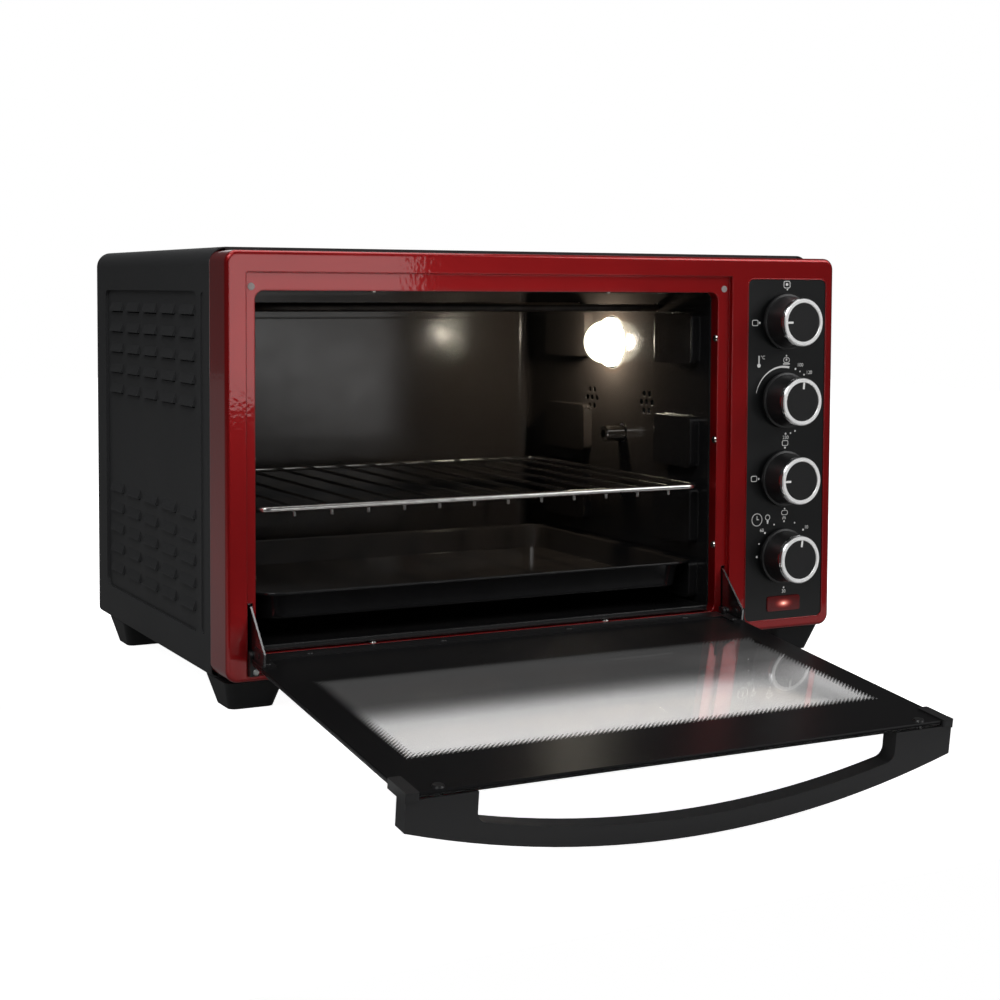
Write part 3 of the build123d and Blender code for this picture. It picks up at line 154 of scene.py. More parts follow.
backdrop = add(tree, "ShaderNodeBackground", Color=(1, 1, 1, 1), Strength=strength.outputs[0])
add(tree, "ShaderNodeOutputWorld", Surface=backdrop.outputs[0])

# the card is white paper; to all but the camera it carries a painted shadow under the oven, and it is
# quieter in mirrors
paper_mottle = 11.11 * mm
shade_start, shade_full = -0.09, -0.02
shaded_level = 0.2
mirrored_level = 0.45
white_level = 0.95
white_in_mirrors = 0.1
white_through_glass = 0.02
table_white, tree = new_material("white_studio_card")
rays = add(tree, "ShaderNodeLightPath")
place = add(tree, "ShaderNodeTexCoord").outputs["Object"]
grain = add(tree, "ShaderNodeTexNoise", Vector=place, Scale=1 / paper_mottle)
paper = add(tree, "ShaderNodeMapRange", Value=grain.outputs[0], To_Min=0.9, To_Max=0.94)
apart = add(tree, "ShaderNodeSeparateXYZ", Vector=place)
# painted shadow: behind the card's front edge, under the oven, the paper is darkened for all but camera
# rays
painted_shadow_under_oven = add(tree, "ShaderNodeMapRange", Value=apart.outputs[1], From_Min=shade_start,
                 From_Max=shade_full, To_Min=1.0, To_Max=shaded_level)
open_view = add(tree, "ShaderNodeMath", {"operation": "MAXIMUM"}, i0=painted_shadow_under_oven.outputs[0],
                i1=rays.outputs["Is Camera Ray"])
in_mirror = add(tree, "ShaderNodeMapRange", Value=rays.outputs["Is Glossy Ray"], To_Min=1.0,
                To_Max=mirrored_level)
not_glass = add(tree, "ShaderNodeMath", {"operation": "MAXIMUM"}, i0=in_mirror.outputs[0],
                i1=rays.outputs["Is Transmission Ray"])
dimmed = add(tree, "ShaderNodeMath", {"operation": "MULTIPLY"}, i0=not_glass.outputs[0],
             i1=open_view.outputs[0])
shade = add(tree, "ShaderNodeMath", {"operation": "MULTIPLY"}, i0=paper.outputs[0], i1=dimmed.outputs[0])
card = add(tree, "ShaderNodeBsdfDiffuse", Color=shade.outputs[0])
mirrored = add(tree, "ShaderNodeMath", {"operation": "MULTIPLY"}, i0=rays.outputs["Is Glossy Ray"],
               i1=white_in_mirrors)
glassed = add(tree, "ShaderNodeMath", {"operation": "MULTIPLY"}, i0=rays.outputs["Is Transmission Ray"],
              i1=white_through_glass)
seen = add(tree, "ShaderNodeMath", {"operation": "MAXIMUM"}, i0=rays.outputs["Is Camera Ray"],
           i1=mirrored.outputs[0])
shown = add(tree, "ShaderNodeMath", {"operation": "MAXIMUM"}, i0=seen.outputs[0], i1=glassed.outputs[0])
lift = add(tree, "ShaderNodeMath", {"operation": "MULTIPLY"}, i0=shown.outputs[0], i1=white_level)
glow = add(tree, "ShaderNodeEmission", Color=(1, 1, 1, 1), Strength=lift.outputs[0])
lifted_card = add(tree, "ShaderNodeAddShader", i0=card.outputs[0], i1=glow.outputs[0])
finish_material(table_white, lifted_card.outputs[0])

floor_level = cad_box[0][2] - 2 * mm
floor_reach = 4
floor_front, floor_rear = -0.4, 6
table_level = -0.5 * mm
table_reach = 0.42
table_front, table_rear = -0.238, 0.6
for name, level, reach, front, rear in (
    ("floor", floor_level, floor_reach, floor_front, floor_rear),
    ("table", table_level, table_reach, table_front, table_rear),
):
    surface_shape = bmesh.new()
    bmesh.ops.create_grid(surface_shape, x_segments=2, y_segments=2, size=0.5)
    bmesh.ops.scale(surface_shape, verts=surface_shape.verts, vec=(2 * reach, rear - front, 1))
    middle = (0, (front + rear) / 2, level)
    bmesh.ops.translate(surface_shape, verts=surface_shape.verts, vec=middle)
    keep_mesh(name, surface_shape, table_white)


def softbox(name, place, aim, size, power):
    """Rectangular lamp at a place, turned to face an aim point."""
    lamp = bpy.data.lights.new(name, "AREA")
    lamp.shape = "RECTANGLE"
    lamp.size, lamp.size_y = size
    lamp.energy = power
    holder = bpy.data.objects.new(name, lamp)
    bpy.context.scene.collection.objects.link(holder)
    holder.location = place
    holder.rotation_euler = (Vector(aim) - Vector(place)).to_track_quat("-Z", "Y").to_euler()


softbox("key_softbox", (-1.3, -1.4, 1.9), (0, 0.1, 0.15), (1.4, 1.0), 21)
softbox("fill_softbox", (1.7, -1.5, 1.5), (0.1, 0, 0.2), (1.2, 1.2), 17)
softbox("top_softbox", (0.0, 0.3, 2.2), (0, 0.1, 0.2), (1.8, 1.6), 20)
softbox("frame_strip", (0.34, -1.6, 0.27), (0.34, 0, 0.27), (0.56, 0.3), 1.05)
softbox("cavity_strip", (0.85, -1.6, 0.15), (0.85, 0, 0.15), (0.5, 0.26), 0.75)

# Cabinet and rear panel: pressed steel sheet with a fine-textured black powder coat, baked on.
# The coat is satin, with a grit of about a millimetre that breaks up its reflections.
powder_grit = 1.1 * mm
coat_patch = 111 * mm
black_coat, tree = new_material("black_powder_coat")
place = add(tree, "ShaderNodeTexCoord").outputs["Object"]
grit = add(tree, "ShaderNodeTexNoise", Vector=place, Scale=1 / powder_grit, Detail=2.0)
patch = add(tree, "ShaderNodeTexNoise", Vector=place, Scale=1 / coat_patch, Detail=3.0)
shade = add(tree, "ShaderNodeMapRange", Value=patch.outputs[0], To_Min=0.42, To_Max=0.52)
tone = add(tree, "ShaderNodeMix", {"data_type": "RGBA"}, Factor=grit.outputs[0],
           i6=linear("#2d2d2e"), i7=linear("#393a3b"))
bump = add(tree, "ShaderNodeBump", Height=grit.outputs[0], Strength=0.25, Distance=0.15 * mm)
coat = add(tree, "ShaderNodeBsdfPrincipled", Base_Color=tone.outputs[2], Roughness=shade.outputs[0],
           Specular_IOR_Level=0.14, Normal=bump.outputs[0])
finish_material(black_coat, coat.outputs[0])
dress(black_coat, "cabinet", "rear_panel")

# Inner sheet pieces: base plate, control bracket, fan shroud, lamp cup, heater clips and spit motor case,
# all pressed from hot-dip galvanised steel sheet.
# The zinc's spangle, some millimetres across, shows as faint flakes of lighter and darker grey.
spangle_size = 5 * mm
galvanised, tree = new_material("galvanised_steel_sheet")
place = add(tree, "ShaderNodeTexCoord").outputs["Object"]
spangle = add(tree, "ShaderNodeTexVoronoi", Vector=place, Scale=1 / spangle_size)
tone = add(tree, "ShaderNodeMix", {"data_type": "RGBA"}, Factor=spangle.outputs["Distance"],
           i6=linear("#a3a6a8"), i7=linear("#84878a"))
sheen = add(tree, "ShaderNodeMapRange", Value=spangle.outputs["Distance"], To_Min=0.32, To_Max=0.5)
sheet = add(tree, "ShaderNodeBsdfPrincipled", Base_Color=tone.outputs[2], Metallic=1.0,
            Roughness=sheen.outputs[0])
finish_material(galvanised, sheet.outputs[0])
dress(galvanised, "base_plate", "control_bracket", "fan_shroud", "lamp_holder", "heater_clips",
      "spit_motor")

# Screws, pins, shafts and metal-cased controls: turned or pressed steel, electroplated with bright zinc.
# A plated part is smooth, slightly blue, and clouded where it was handled.
handling_cloud = 6.25 * mm
zinc_steel, tree = new_material("bright_zinc_plate")
place = add(tree, "ShaderNodeTexCoord").outputs["Object"]
cloud = add(tree, "ShaderNodeTexNoise", Vector=place, Scale=1 / handling_cloud, Detail=3.0)
tone = add(tree, "ShaderNodeMix", {"data_type": "RGBA"}, Factor=cloud.outputs[0],
           i6=linear("#b4b8bc"), i7=linear("#999b9a"))
sheen = add(tree, "ShaderNodeMapRange", Value=cloud.outputs[0], To_Min=0.2, To_Max=0.36)
plate = add(tree, "ShaderNodeBsdfPrincipled", Base_Color=tone.outputs[2], Metallic=1.0,
            Roughness=sheen.outputs[0])
finish_material(zinc_steel, plate.outputs[0])
dress(zinc_steel, "rear_screws", "foot_screws", "hinge_pins", "hinge_screws", "thermostat", "timer",
      "fan_motor", "knob_1_shaft", "knob_2_shaft", "knob_3_shaft", "knob_4_shaft")

# Feet and cord gland: moulded black polypropylene, spark-eroded to a fine matt grain.
# The grain is drawn at half a millimetre, as coarse as it needs to be to show.
grain_size = 0.5 * mm
matt_black, tree = new_material("matt_black_polypropylene")
place = add(tree, "ShaderNodeTexCoord").outputs["Object"]
grain = add(tree, "ShaderNodeTexNoise", Vector=place, Scale=1 / grain_size, Detail=2.0)
shade = add(tree, "ShaderNodeMapRange", Value=grain.outputs[0], To_Min=0.42, To_Max=0.55)
tone = add(tree, "ShaderNodeMix", {"data_type": "RGBA"}, Factor=grain.outputs[0],
           i6=linear("#212122"), i7=linear("#292a2b"))
bump = add(tree, "ShaderNodeBump", Height=grain.outputs[0], Strength=0.3, Distance=0.06 * mm)
moulded = add(tree, "ShaderNodeBsdfPrincipled", Base_Color=tone.outputs[2], Roughness=shade.outputs[0],
              Specular_IOR_Level=0.25, Normal=bump.outputs[0])
finish_material(matt_black, moulded.outputs[0])
dress(matt_black, "feet", "cord_gland")

# Front frame: drawn steel in a deep candy red, a clear tinted lacquer over a bright metallic base.
# Gloss is high, and the lacquer's orange peel, a few millimetres across, makes the reflections ripple.
peel = 5 * mm
lacquer_patch = 71.4 * mm
press_radius = 1.6 * mm
candy_red, tree = new_material("candy_red_lacquer")
place = add(tree, "ShaderNodeTexCoord").outputs["Object"]
waves = add(tree, "ShaderNodeTexNoise", Vector=place, Scale=1 / peel, Detail=1.5)
depth = add(tree, "ShaderNodeTexNoise", Vector=place, Scale=1 / lacquer_patch, Detail=2.0)
tone = add(tree, "ShaderNodeMix", {"data_type": "RGBA"}, Factor=depth.outputs[0],
           i6=linear("#ae050b"), i7=linear("#920409"))
press_line = add(tree, "ShaderNodeBevel", {"samples": 4}, Radius=press_radius)
bump = add(tree, "ShaderNodeBump", Height=waves.outputs[0], Strength=0.3, Distance=0.22 * mm,
           Normal=press_line.outputs[0])
lacquer = add(tree, "ShaderNodeBsdfPrincipled", Base_Color=tone.outputs[2], Metallic=0.75, Roughness=0.32,
              Coat_Weight=1.0, Coat_Roughness=0.05, Normal=bump.outputs[0], Coat_Normal=bump.outputs[0])
finish_material(candy_red, lacquer.outputs[0])
dress(candy_red, "front_frame")

# Screws in the window's reveal and the spit drive's socket: steel with a polished nickel plate.
# The domed heads show as small bright sparks with a dark side.
nickel_cloud = 2.5 * mm
nickel, tree = new_material("polished_nickel_plate")
place = add(tree, "ShaderNodeTexCoord").outputs["Object"]
cloud = add(tree, "ShaderNodeTexNoise", Vector=place, Scale=1 / nickel_cloud, Detail=2.0)
sheen = add(tree, "ShaderNodeMapRange", Value=cloud.outputs[0], To_Min=0.12, To_Max=0.22)
plate = add(tree, "ShaderNodeBsdfPrincipled", Base_Color=linear("#cfcdc8"), Metallic=1.0,
            Roughness=sheen.outputs[0])
finish_material(nickel, plate.outputs[0])
dress(nickel, "reveal_screws", "spit_socket")

# Cavity: plates, sides, back and collar of pressed steel sheet, with a black vitreous enamel fired on.
# The glaze is glossy, pools slightly at the folds, and carries fine grey specks about a millimetre apart.
speck_spacing = 0.9 * mm
speck_core, speck_rim = 0.1, 0.16
glaze_wave = 26.3 * mm
pooled_radius = 2 * mm
enamel, tree = new_material("black_vitreous_enamel")
place = add(tree, "ShaderNodeTexCoord").outputs["Object"]
waves = add(tree, "ShaderNodeTexNoise", Vector=place, Scale=1 / glaze_wave, Detail=2.0)
specks = add(tree, "ShaderNodeTexVoronoi", Vector=place, Scale=1 / speck_spacing)
fleck = add(tree, "ShaderNodeMapRange", Value=specks.outputs["Distance"], From_Min=speck_core,
            From_Max=speck_rim, To_Min=1.0, To_Max=0.0)
tone = add(tree, "ShaderNodeMix", {"data_type": "RGBA"}, Factor=fleck.outputs[0],
           i6=linear("#151516"), i7=linear("#2c2c2e"))
shade = add(tree, "ShaderNodeMapRange", Value=waves.outputs[0], To_Min=0.12, To_Max=0.24)
pooled_edge = add(tree, "ShaderNodeBevel", {"samples": 4}, Radius=pooled_radius)
bump = add(tree, "ShaderNodeBump", Height=waves.outputs[0], Strength=0.22, Distance=0.5 * mm,
           Normal=pooled_edge.outputs[0])
fired = add(tree, "ShaderNodeBsdfPrincipled", Base_Color=tone.outputs[2], Roughness=shade.outputs[0],
            Normal=bump.outputs[0])
finish_material(enamel, fired.outputs[0])
dress(enamel, "liner_plates", "liner_back", "liner_collar", "liner_left", "liner_right")

# Tubular heaters: stainless sheaths that the first heats have turned a dull bronze grey.
# The oxide is uneven along the rod, in patches of one or two centimetres.
oxide_patch = 15.4 * mm
sheath, tree = new_material("heat_tinted_stainless_sheath")
place = add(tree, "ShaderNodeTexCoord").outputs["Object"]
oxide = add(tree, "ShaderNodeTexNoise", Vector=place, Scale=1 / oxide_patch, Detail=4.0)
tone = add(tree, "ShaderNodeMix", {"data_type": "RGBA"}, Factor=oxide.outputs[0],
           i6=linear("#4a443f"), i7=linear("#2c2a2a"))
sheen = add(tree, "ShaderNodeMapRange", Value=oxide.outputs[0], To_Min=0.38, To_Max=0.6)
rod = add(tree, "ShaderNodeBsdfPrincipled", Base_Color=tone.outputs[2], Metallic=0.85,
          Roughness=sheen.outputs[0])
finish_material(sheath, rod.outputs[0])
dress(sheath, "heater_top", "heater_bottom")

# Insulating beads at the heater ends: pressed steatite, fired and left unglazed.
# The ceramic is off-white and slightly sandy, with a grain of about a millimetre.
sand_grain = 1.111 * mm
steatite, tree = new_material("unglazed_steatite")
place = add(tree, "ShaderNodeTexCoord").outputs["Object"]
sand = add(tree, "ShaderNodeTexNoise", Vector=place, Scale=1 / sand_grain, Detail=2.0)
tone = add(tree, "ShaderNodeMix", {"data_type": "RGBA"}, Factor=sand.outputs[0],
           i6=linear("#e3ddcf"), i7=linear("#d2cbbb"))
bump = add(tree, "ShaderNodeBump", Height=sand.outputs[0], Strength=0.3, Distance=0.05 * mm)
pressed = add(tree, "ShaderNodeBsdfPrincipled", Base_Color=tone.outputs[2], Roughness=0.75,
              Normal=bump.outputs[0])
finish_material(steatite, pressed.outputs[0])
dress(steatite, "heater_beads")

# Oven lamp: a pressed borosilicate dome screwed over a small bulb, both lit.
# The glass glows almost white, brightest at its base, and warms the enamel round it.
lamp_centre = (177 * mm, 271 * mm)
dome_tip_x = 132.5 * mm
dome_base_x = 161 * mm
tip_glow, base_glow = 0.8, 1.4
glass_streak = 14.3 * mm
lamp_clear, tree = new_material("lit_borosilicate_dome")
place = add(tree, "ShaderNodeTexCoord").outputs["Object"]
apart = add(tree, "ShaderNodeSeparateXYZ", Vector=place)
depth = add(tree, "ShaderNodeMapRange", Value=apart.outputs[0], From_Min=dome_tip_x, From_Max=dome_base_x,
            To_Min=tip_glow, To_Max=base_glow)
streaks = add(tree, "ShaderNodeTexNoise", Vector=place, Scale=1 / glass_streak, Detail=2.0)
uneven = add(tree, "ShaderNodeMapRange", Value=streaks.outputs[0], To_Min=0.7, To_Max=1.25)
light = add(tree, "ShaderNodeMath", {"operation": "MULTIPLY"}, i0=depth.outputs[0], i1=uneven.outputs[0])
dome = add(tree, "ShaderNodeBsdfPrincipled", Base_Color=linear("#fdf6ea"), Roughness=0.08,
           Transmission_Weight=1.0, IOR=1.47, Emission_Color=linear("#fdfbe6"),
           Emission_Strength=light.outputs[0])
rays = add(tree, "ShaderNodeLightPath")
passing = add(tree, "ShaderNodeBsdfTransparent", Color=linear("#fff2e0"))
dome_shader = add(tree, "ShaderNodeMixShader", i0=rays.outputs["Is Shadow Ray"], i1=dome.outputs[0],
                  i2=passing.outputs[0])
finish_material(lamp_clear, dome_shader.outputs[0])
dress(lamp_clear, "lamp_glass")

# the dome's true outline, a round cap on a short neck with a moulded collar against the wall
wall_face = 160 * mm
glass_wall = 2.5 * mm
collar_radius = 23 * mm
collar_depth = 5 * mm
collar_slope = 1 * mm
outer_radius = 20 * mm
inner_radius = outer_radius - glass_wall
cap_centre = dome_tip_x + outer_radius
collar_front = wall_face - collar_depth
bow_steps = 12
turn_steps = 48
weld_distance = 0.01 * mm
bow = [math.pi / 2 * step / bow_steps for step in range(bow_steps + 1)]
outer_bow = [(cap_centre - outer_radius * math.sin(a), outer_radius * math.cos(a)) for a in reversed(bow)]
inner_bow = [(cap_centre - inner_radius * math.sin(a), inner_radius * math.cos(a)) for a in bow]
collar = [(collar_front, outer_radius), (collar_front + collar_slope, collar_radius),
          (wall_face, collar_radius), (wall_face, inner_radius)]
dome_shape = bmesh.new()
outline = [dome_shape.verts.new((x, lamp_centre[0], lamp_centre[1] + radius))
           for x, radius in outer_bow + collar + inner_bow]
rim = [dome_shape.edges.new(pair) for pair in zip(outline, outline[1:])]
bmesh.ops.spin(dome_shape, geom=outline + rim, cent=(0, *lamp_centre), axis=(1, 0, 0), steps=turn_steps,
               angle=2 * math.pi, use_merge=True)
bmesh.ops.remove_doubles(dome_shape, verts=dome_shape.verts, dist=weld_distance)
bmesh.ops.recalc_face_normals(dome_shape, faces=dome_shape.faces)
dome_piece = keep_mesh("lamp_dome", dome_shape, lamp_clear)
for face in dome_piece.data.polygons:
    face.use_smooth = True
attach(dome_piece, "oven")
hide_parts("lamp_glass")

# the bulb behind it glows unevenly, and a point lamp inside the dome gives its light to the cavity
bulb_streak = 8.33 * mm
bulb_x = 143 * mm
bulb_radius = 9 * mm
lit_bulb, tree = new_material("lit_bulb_glass")
place = add(tree, "ShaderNodeTexCoord").outputs["Object"]
streaks = add(tree, "ShaderNodeTexNoise", Vector=place, Scale=1 / bulb_streak)
heat = add(tree, "ShaderNodeMapRange", Value=streaks.outputs[0], To_Min=1.0, To_Max=1.5)
filament = add(tree, "ShaderNodeEmission", Color=linear("#fff0d6"), Strength=heat.outputs[0])
finish_material(lit_bulb, filament.outputs[0])
dress(lit_bulb, "lamp_bulb")

bulb_light = bpy.data.lights.new("bulb_light", "POINT")
bulb_light.energy = 3.0
bulb_light.color = (1.0, 0.96, 0.92)
bulb_light.shadow_soft_size = bulb_radius
bulb_holder = bpy.data.objects.new("bulb_light", bulb_light)
bpy.context.scene.collection.objects.link(bulb_holder)
bulb_holder.location = (bulb_x, *lamp_centre)
bulb_holder.visible_glossy = False

# Fan impeller and door stays: blades pressed from aluminium and stays cut from steel strip, left bare.
# Both carry fine rolling lines, about a third of a millimetre apart and a few centimetres long.
line_pitch = 0.35 * mm
line_length = 25 * mm
bare_metal, tree = new_material("brushed_bare_metal")
place = add(tree, "ShaderNodeTexCoord").outputs["Object"]
stretch = add(tree, "ShaderNodeMapping", Vector=place,
              Scale=(1 / line_pitch, 1 / line_length, 1 / line_length))
lines = add(tree, "ShaderNodeTexNoise", Vector=stretch.outputs[0], Scale=1.0, Detail=2.0)
sheen = add(tree, "ShaderNodeMapRange", Value=lines.outputs[0], To_Min=0.18, To_Max=0.34)
bump = add(tree, "ShaderNodeBump", Height=lines.outputs[0], Strength=0.15, Distance=0.03 * mm)
metal = add(tree, "ShaderNodeBsdfPrincipled", Base_Color=linear("#9c9c9d"), Metallic=1.0,
            Roughness=sheen.outputs[0], Normal=bump.outputs[0])
finish_material(bare_metal, metal.outputs[0])
dress(bare_metal, "fan_impeller", "door_stays")

# Wire rack: welded mild steel wire with a bright chrome plate, yellowed a little by heat.
# The plate is mirror-like, with faint clouds some millimetres long where the wire was drawn.
drawing_mark = 4.76 * mm
rack_chrome, tree = new_material("chrome_plated_wire")
place = add(tree, "ShaderNodeTexCoord").outputs["Object"]
drawn = add(tree, "ShaderNodeTexNoise", Vector=place, Scale=1 / drawing_mark, Detail=3.0)
tone = add(tree, "ShaderNodeMix", {"data_type": "RGBA"}, Factor=drawn.outputs[0],
           i6=linear("#e2e1df"), i7=linear("#bdbbb8"))
sheen = add(tree, "ShaderNodeMapRange", Value=drawn.outputs[0], To_Min=0.14, To_Max=0.3)
wire = add(tree, "ShaderNodeBsdfPrincipled", Base_Color=tone.outputs[2], Metallic=1.0,
           Roughness=sheen.outputs[0])
finish_material(rack_chrome, wire.outputs[0])
dress(rack_chrome, "wire_rack")

# Baking tray and crumb tray: drawn from steel sheet and enamelled black like the cavity.
# The glaze is smoother than the cavity's and has no specks. It rounds the folds.
tray_wave = 33.3 * mm
tray_edge_radius = 1.5 * mm
tray_enamel, tree = new_material("black_tray_enamel")
place = add(tree, "ShaderNodeTexCoord").outputs["Object"]
waves = add(tree, "ShaderNodeTexNoise", Vector=place, Scale=1 / tray_wave, Detail=2.0)
shade = add(tree, "ShaderNodeMapRange", Value=waves.outputs[0], To_Min=0.08, To_Max=0.18)
tone = add(tree, "ShaderNodeMix", {"data_type": "RGBA"}, Factor=waves.outputs[0],
           i6=linear("#121213"), i7=linear("#1b1b1c"))
pooled_edge = add(tree, "ShaderNodeBevel", {"samples": 4}, Radius=tray_edge_radius)
bump = add(tree, "ShaderNodeBump", Height=waves.outputs[0], Strength=0.25, Distance=0.5 * mm,
           Normal=pooled_edge.outputs[0])
fired = add(tree, "ShaderNodeBsdfPrincipled", Base_Color=tone.outputs[2], Roughness=shade.outputs[0],
            Normal=bump.outputs[0])
finish_material(tray_enamel, fired.outputs[0])
dress(tray_enamel, "baking_tray", "crumb_tray")

# Rotary switches and the indicator's lamp base: moulded in glass-filled nylon and fitted behind the panel.
# It is off-white and slightly glossy, with flow marks a centimetre or two long.
flow_mark = 18.2 * mm
switch_nylon, tree = new_material("off_white_nylon")
place = add(tree, "ShaderNodeTexCoord").outputs["Object"]
flow = add(tree, "ShaderNodeTexNoise", Vector=place, Scale=1 / flow_mark, Detail=3.0)
tone = add(tree, "ShaderNodeMix", {"data_type": "RGBA"}, Factor=flow.outputs[0],
           i6=linear("#dcd8c8"), i7=linear("#cdc8b6"))
shade = add(tree, "ShaderNodeMapRange", Value=flow.outputs[0], To_Min=0.35, To_Max=0.5)
nylon = add(tree, "ShaderNodeBsdfPrincipled", Base_Color=tone.outputs[2], Roughness=shade.outputs[0])
finish_material(switch_nylon, nylon.outputs[0])
dress(switch_nylon, "function_switch", "mode_switch", "indicator_lamp")

# Control panel: satin black moulded ABS insert, snapped in from behind the frame.
# Its skin is almost smooth. The grain is drawn coarser than the real one, so that it gives a soft sheen.
panel_grain = 0.667 * mm
satin_black, tree = new_material("satin_black_abs_insert")
place = add(tree, "ShaderNodeTexCoord").outputs["Object"]
grain = add(tree, "ShaderNodeTexNoise", Vector=place, Scale=1 / panel_grain, Detail=2.0)
shade = add(tree, "ShaderNodeMapRange", Value=grain.outputs[0], To_Min=0.3, To_Max=0.38)
bump = add(tree, "ShaderNodeBump", Height=grain.outputs[0], Strength=0.1, Distance=0.05 * mm)
insert = add(tree, "ShaderNodeBsdfPrincipled", Base_Color=linear("#0f1011"), Roughness=shade.outputs[0],
             Normal=bump.outputs[0])
finish_material(satin_black, insert.outputs[0])
dress(satin_black, "control_panel")

# Rolled edge of the panel opening: the red sheet is turned in all round the insert.
# It is a bead that stands half its height proud of the frame's face, in the frame's own lacquer.
panel_left, panel_right = 189 * mm, 271.7 * mm
panel_bottom, panel_top = 32.4 * mm, 330 * mm
panel_corner = 6 * mm
bead_width = 1.1 * mm
bead_height = 0.9 * mm
bead_round = 0.3 * mm
sharp_fold = math.radians(60)


def print_plane(x, z, y):
    """Matrix that stands a flat mark upright on the front at x and z, facing the viewer."""
    return Matrix.Translation((x, y, z)) @ Matrix.Rotation(math.pi / 2, 4, "X")


def rounded_frame(shape, plane, width, height, corner, line):
    """Flat rounded rectangle with an open middle, its outline as wide as line."""
    size = Matrix.Diagonal((width, height, 1, 1))
    verts = bmesh.ops.create_grid(shape, x_segments=1, y_segments=1, size=0.5, matrix=plane @ size)["verts"]
    made = bmesh.ops.bevel(shape, geom=verts, offset=corner, segments=6, profile=0.5, affect="VERTICES",
                           material=-1)
    faces = {face for vert in made["verts"] for face in vert.link_faces}
    face = max(faces, key=lambda face: face.calc_area())
    bmesh.ops.inset_region(shape, faces=[face], thickness=line, use_even_offset=True, use_boundary=True)
    bmesh.ops.delete(shape, geom=[face], context="FACES")


bead_shape = bmesh.new()
bead_plane = print_plane((panel_left + panel_right) / 2, (panel_bottom + panel_top) / 2, -bead_height / 2)
rounded_frame(bead_shape, bead_plane, panel_right - panel_left + bead_width,
              panel_top - panel_bottom + bead_width, panel_corner, bead_width)
bmesh.ops.solidify(bead_shape, geom=bead_shape.faces[:], thickness=bead_height)
sharp = [edge for edge in bead_shape.edges if edge.is_manifold and edge.calc_face_angle() > sharp_fold]
bmesh.ops.bevel(bead_shape, geom=sharp, offset=bead_round, segments=2, profile=0.5, affect="EDGES",
                material=-1)
bmesh.ops.recalc_face_normals(bead_shape, faces=bead_shape.faces)
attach(keep_mesh("panel_bead", bead_shape, candy_red), "oven")

# Printed scales: white ink, pad-printed on the insert as dots, numbers and pictograms for each control.
# The print is a film a twentieth of a millimetre thick, with a mottle too fine to show.
ink_depth = 0.05 * mm
ink_mottle = 0.333 * mm
panel_face = 0.3 * mm
print_level = panel_face - ink_depth
knob_x = 227 * mm
knob_heights = (293 * mm, 224.9 * mm, 156.8 * mm, 88.7 * mm)
hairline = 0.55 * mm
arc_steps = 26
arc_radius = 29 * mm
arc_start, arc_end = math.radians(167), math.radians(77)
arc_thin, arc_thick = 0.3 * mm, 2.0 * mm
degree_size, minute_size = 4.4 * mm, 4.2 * mm
strand_gap = 1.3 * mm
strand_lean = 0.35

white_ink, tree = new_material("white_pad_print")
place = add(tree, "ShaderNodeTexCoord").outputs["Object"]
cover = add(tree, "ShaderNodeTexNoise", Vector=place, Scale=1 / ink_mottle)
tone = add(tree, "ShaderNodeMix", {"data_type": "RGBA"}, Factor=cover.outputs[0],
           i6=linear("#f4f4f2"), i7=linear("#dededc"))
ink = add(tree, "ShaderNodeBsdfPrincipled", Base_Color=tone.outputs[2], Roughness=0.5)
finish_material(white_ink, ink.outputs[0])

print_shape = bmesh.new()


def dot(x, z, radius):
    """Round dot."""
    bmesh.ops.create_circle(print_shape, cap_ends=True, segments=20, radius=radius,
                            matrix=print_plane(x, z, print_level))


def bar(x, z, width, height, angle=0):
    """Straight stroke, turned about its middle."""
    shape_of_bar = Matrix.Rotation(angle, 4, "Z") @ Matrix.Diagonal((width, height, 1, 1))
    bmesh.ops.create_grid(print_shape, x_segments=1, y_segments=1, size=0.5,
                          matrix=print_plane(x, z, print_level) @ shape_of_bar)


def box_mark(x, z, width, height, corner=1.4 * mm):
    """Outline of an oven cavity, as a rounded square."""
    rounded_frame(print_shape, print_plane(x, z, print_level), width, height, corner, hairline)


def ring_mark(x, z, radius):
    """Round outline."""
    verts = bmesh.ops.create_circle(print_shape, cap_ends=True, segments=28, radius=radius,
                                    matrix=print_plane(x, z, print_level))["verts"]
    face = verts[0].link_faces[0]
    bmesh.ops.inset_region(print_shape, faces=[face], thickness=hairline, use_even_offset=True,
                           use_boundary=True)
    bmesh.ops.delete(print_shape, geom=[face], context="FACES")


def number_mark(text, x, z, size):
    """Number set in Blender's own font, made a mesh before it is put in place."""
    letters = bpy.data.curves.new(f"number_{text}", "FONT")
    letters.body = text
    letters.size = size
    letters.align_x = "CENTER"
    letters.align_y = "CENTER"
    holder = bpy.data.objects.new(f"number_{text}", letters)
    flat = bpy.data.meshes.new_from_object(holder)
    flat.transform(print_plane(x, z, print_level))
    print_shape.from_mesh(flat)
    bpy.data.objects.remove(holder)
    bpy.data.meshes.remove(flat)


def swelling_arc(x, z, radius, start, end, thin, thick):
    """Arc about a knob whose line swells from thin to thick, spun from one radial stroke."""
    plane = print_plane(x, z, print_level)
    first = Vector((radius * math.cos(start), radius * math.sin(start), 0))
    outward = first.normalized()
    ends = [print_shape.verts.new(plane @ (first + outward * step)) for step in (-thin / 2, thin / 2)]
    edge = print_shape.edges.new(ends)
    bmesh.ops.spin(print_shape, geom=[*ends, edge], cent=(x, print_level, z), axis=(0, -1, 0),
                   steps=arc_steps, angle=end - start)
    middle = Vector((x, print_level, z))
    for vert in print_shape.verts:
        arm = vert.co - middle
        if abs(arm.length - radius) > thin:
            continue
        angle = math.atan2(arm.z, arm.x) % (2 * math.pi)
        share = (angle - start) / (end - start)
        width = thin + (thick - thin) * min(max(share, 0), 1)
        side = 1 if arm.length > radius else -1
        vert.co = middle + arm.normalized() * (radius + side * width / 2)


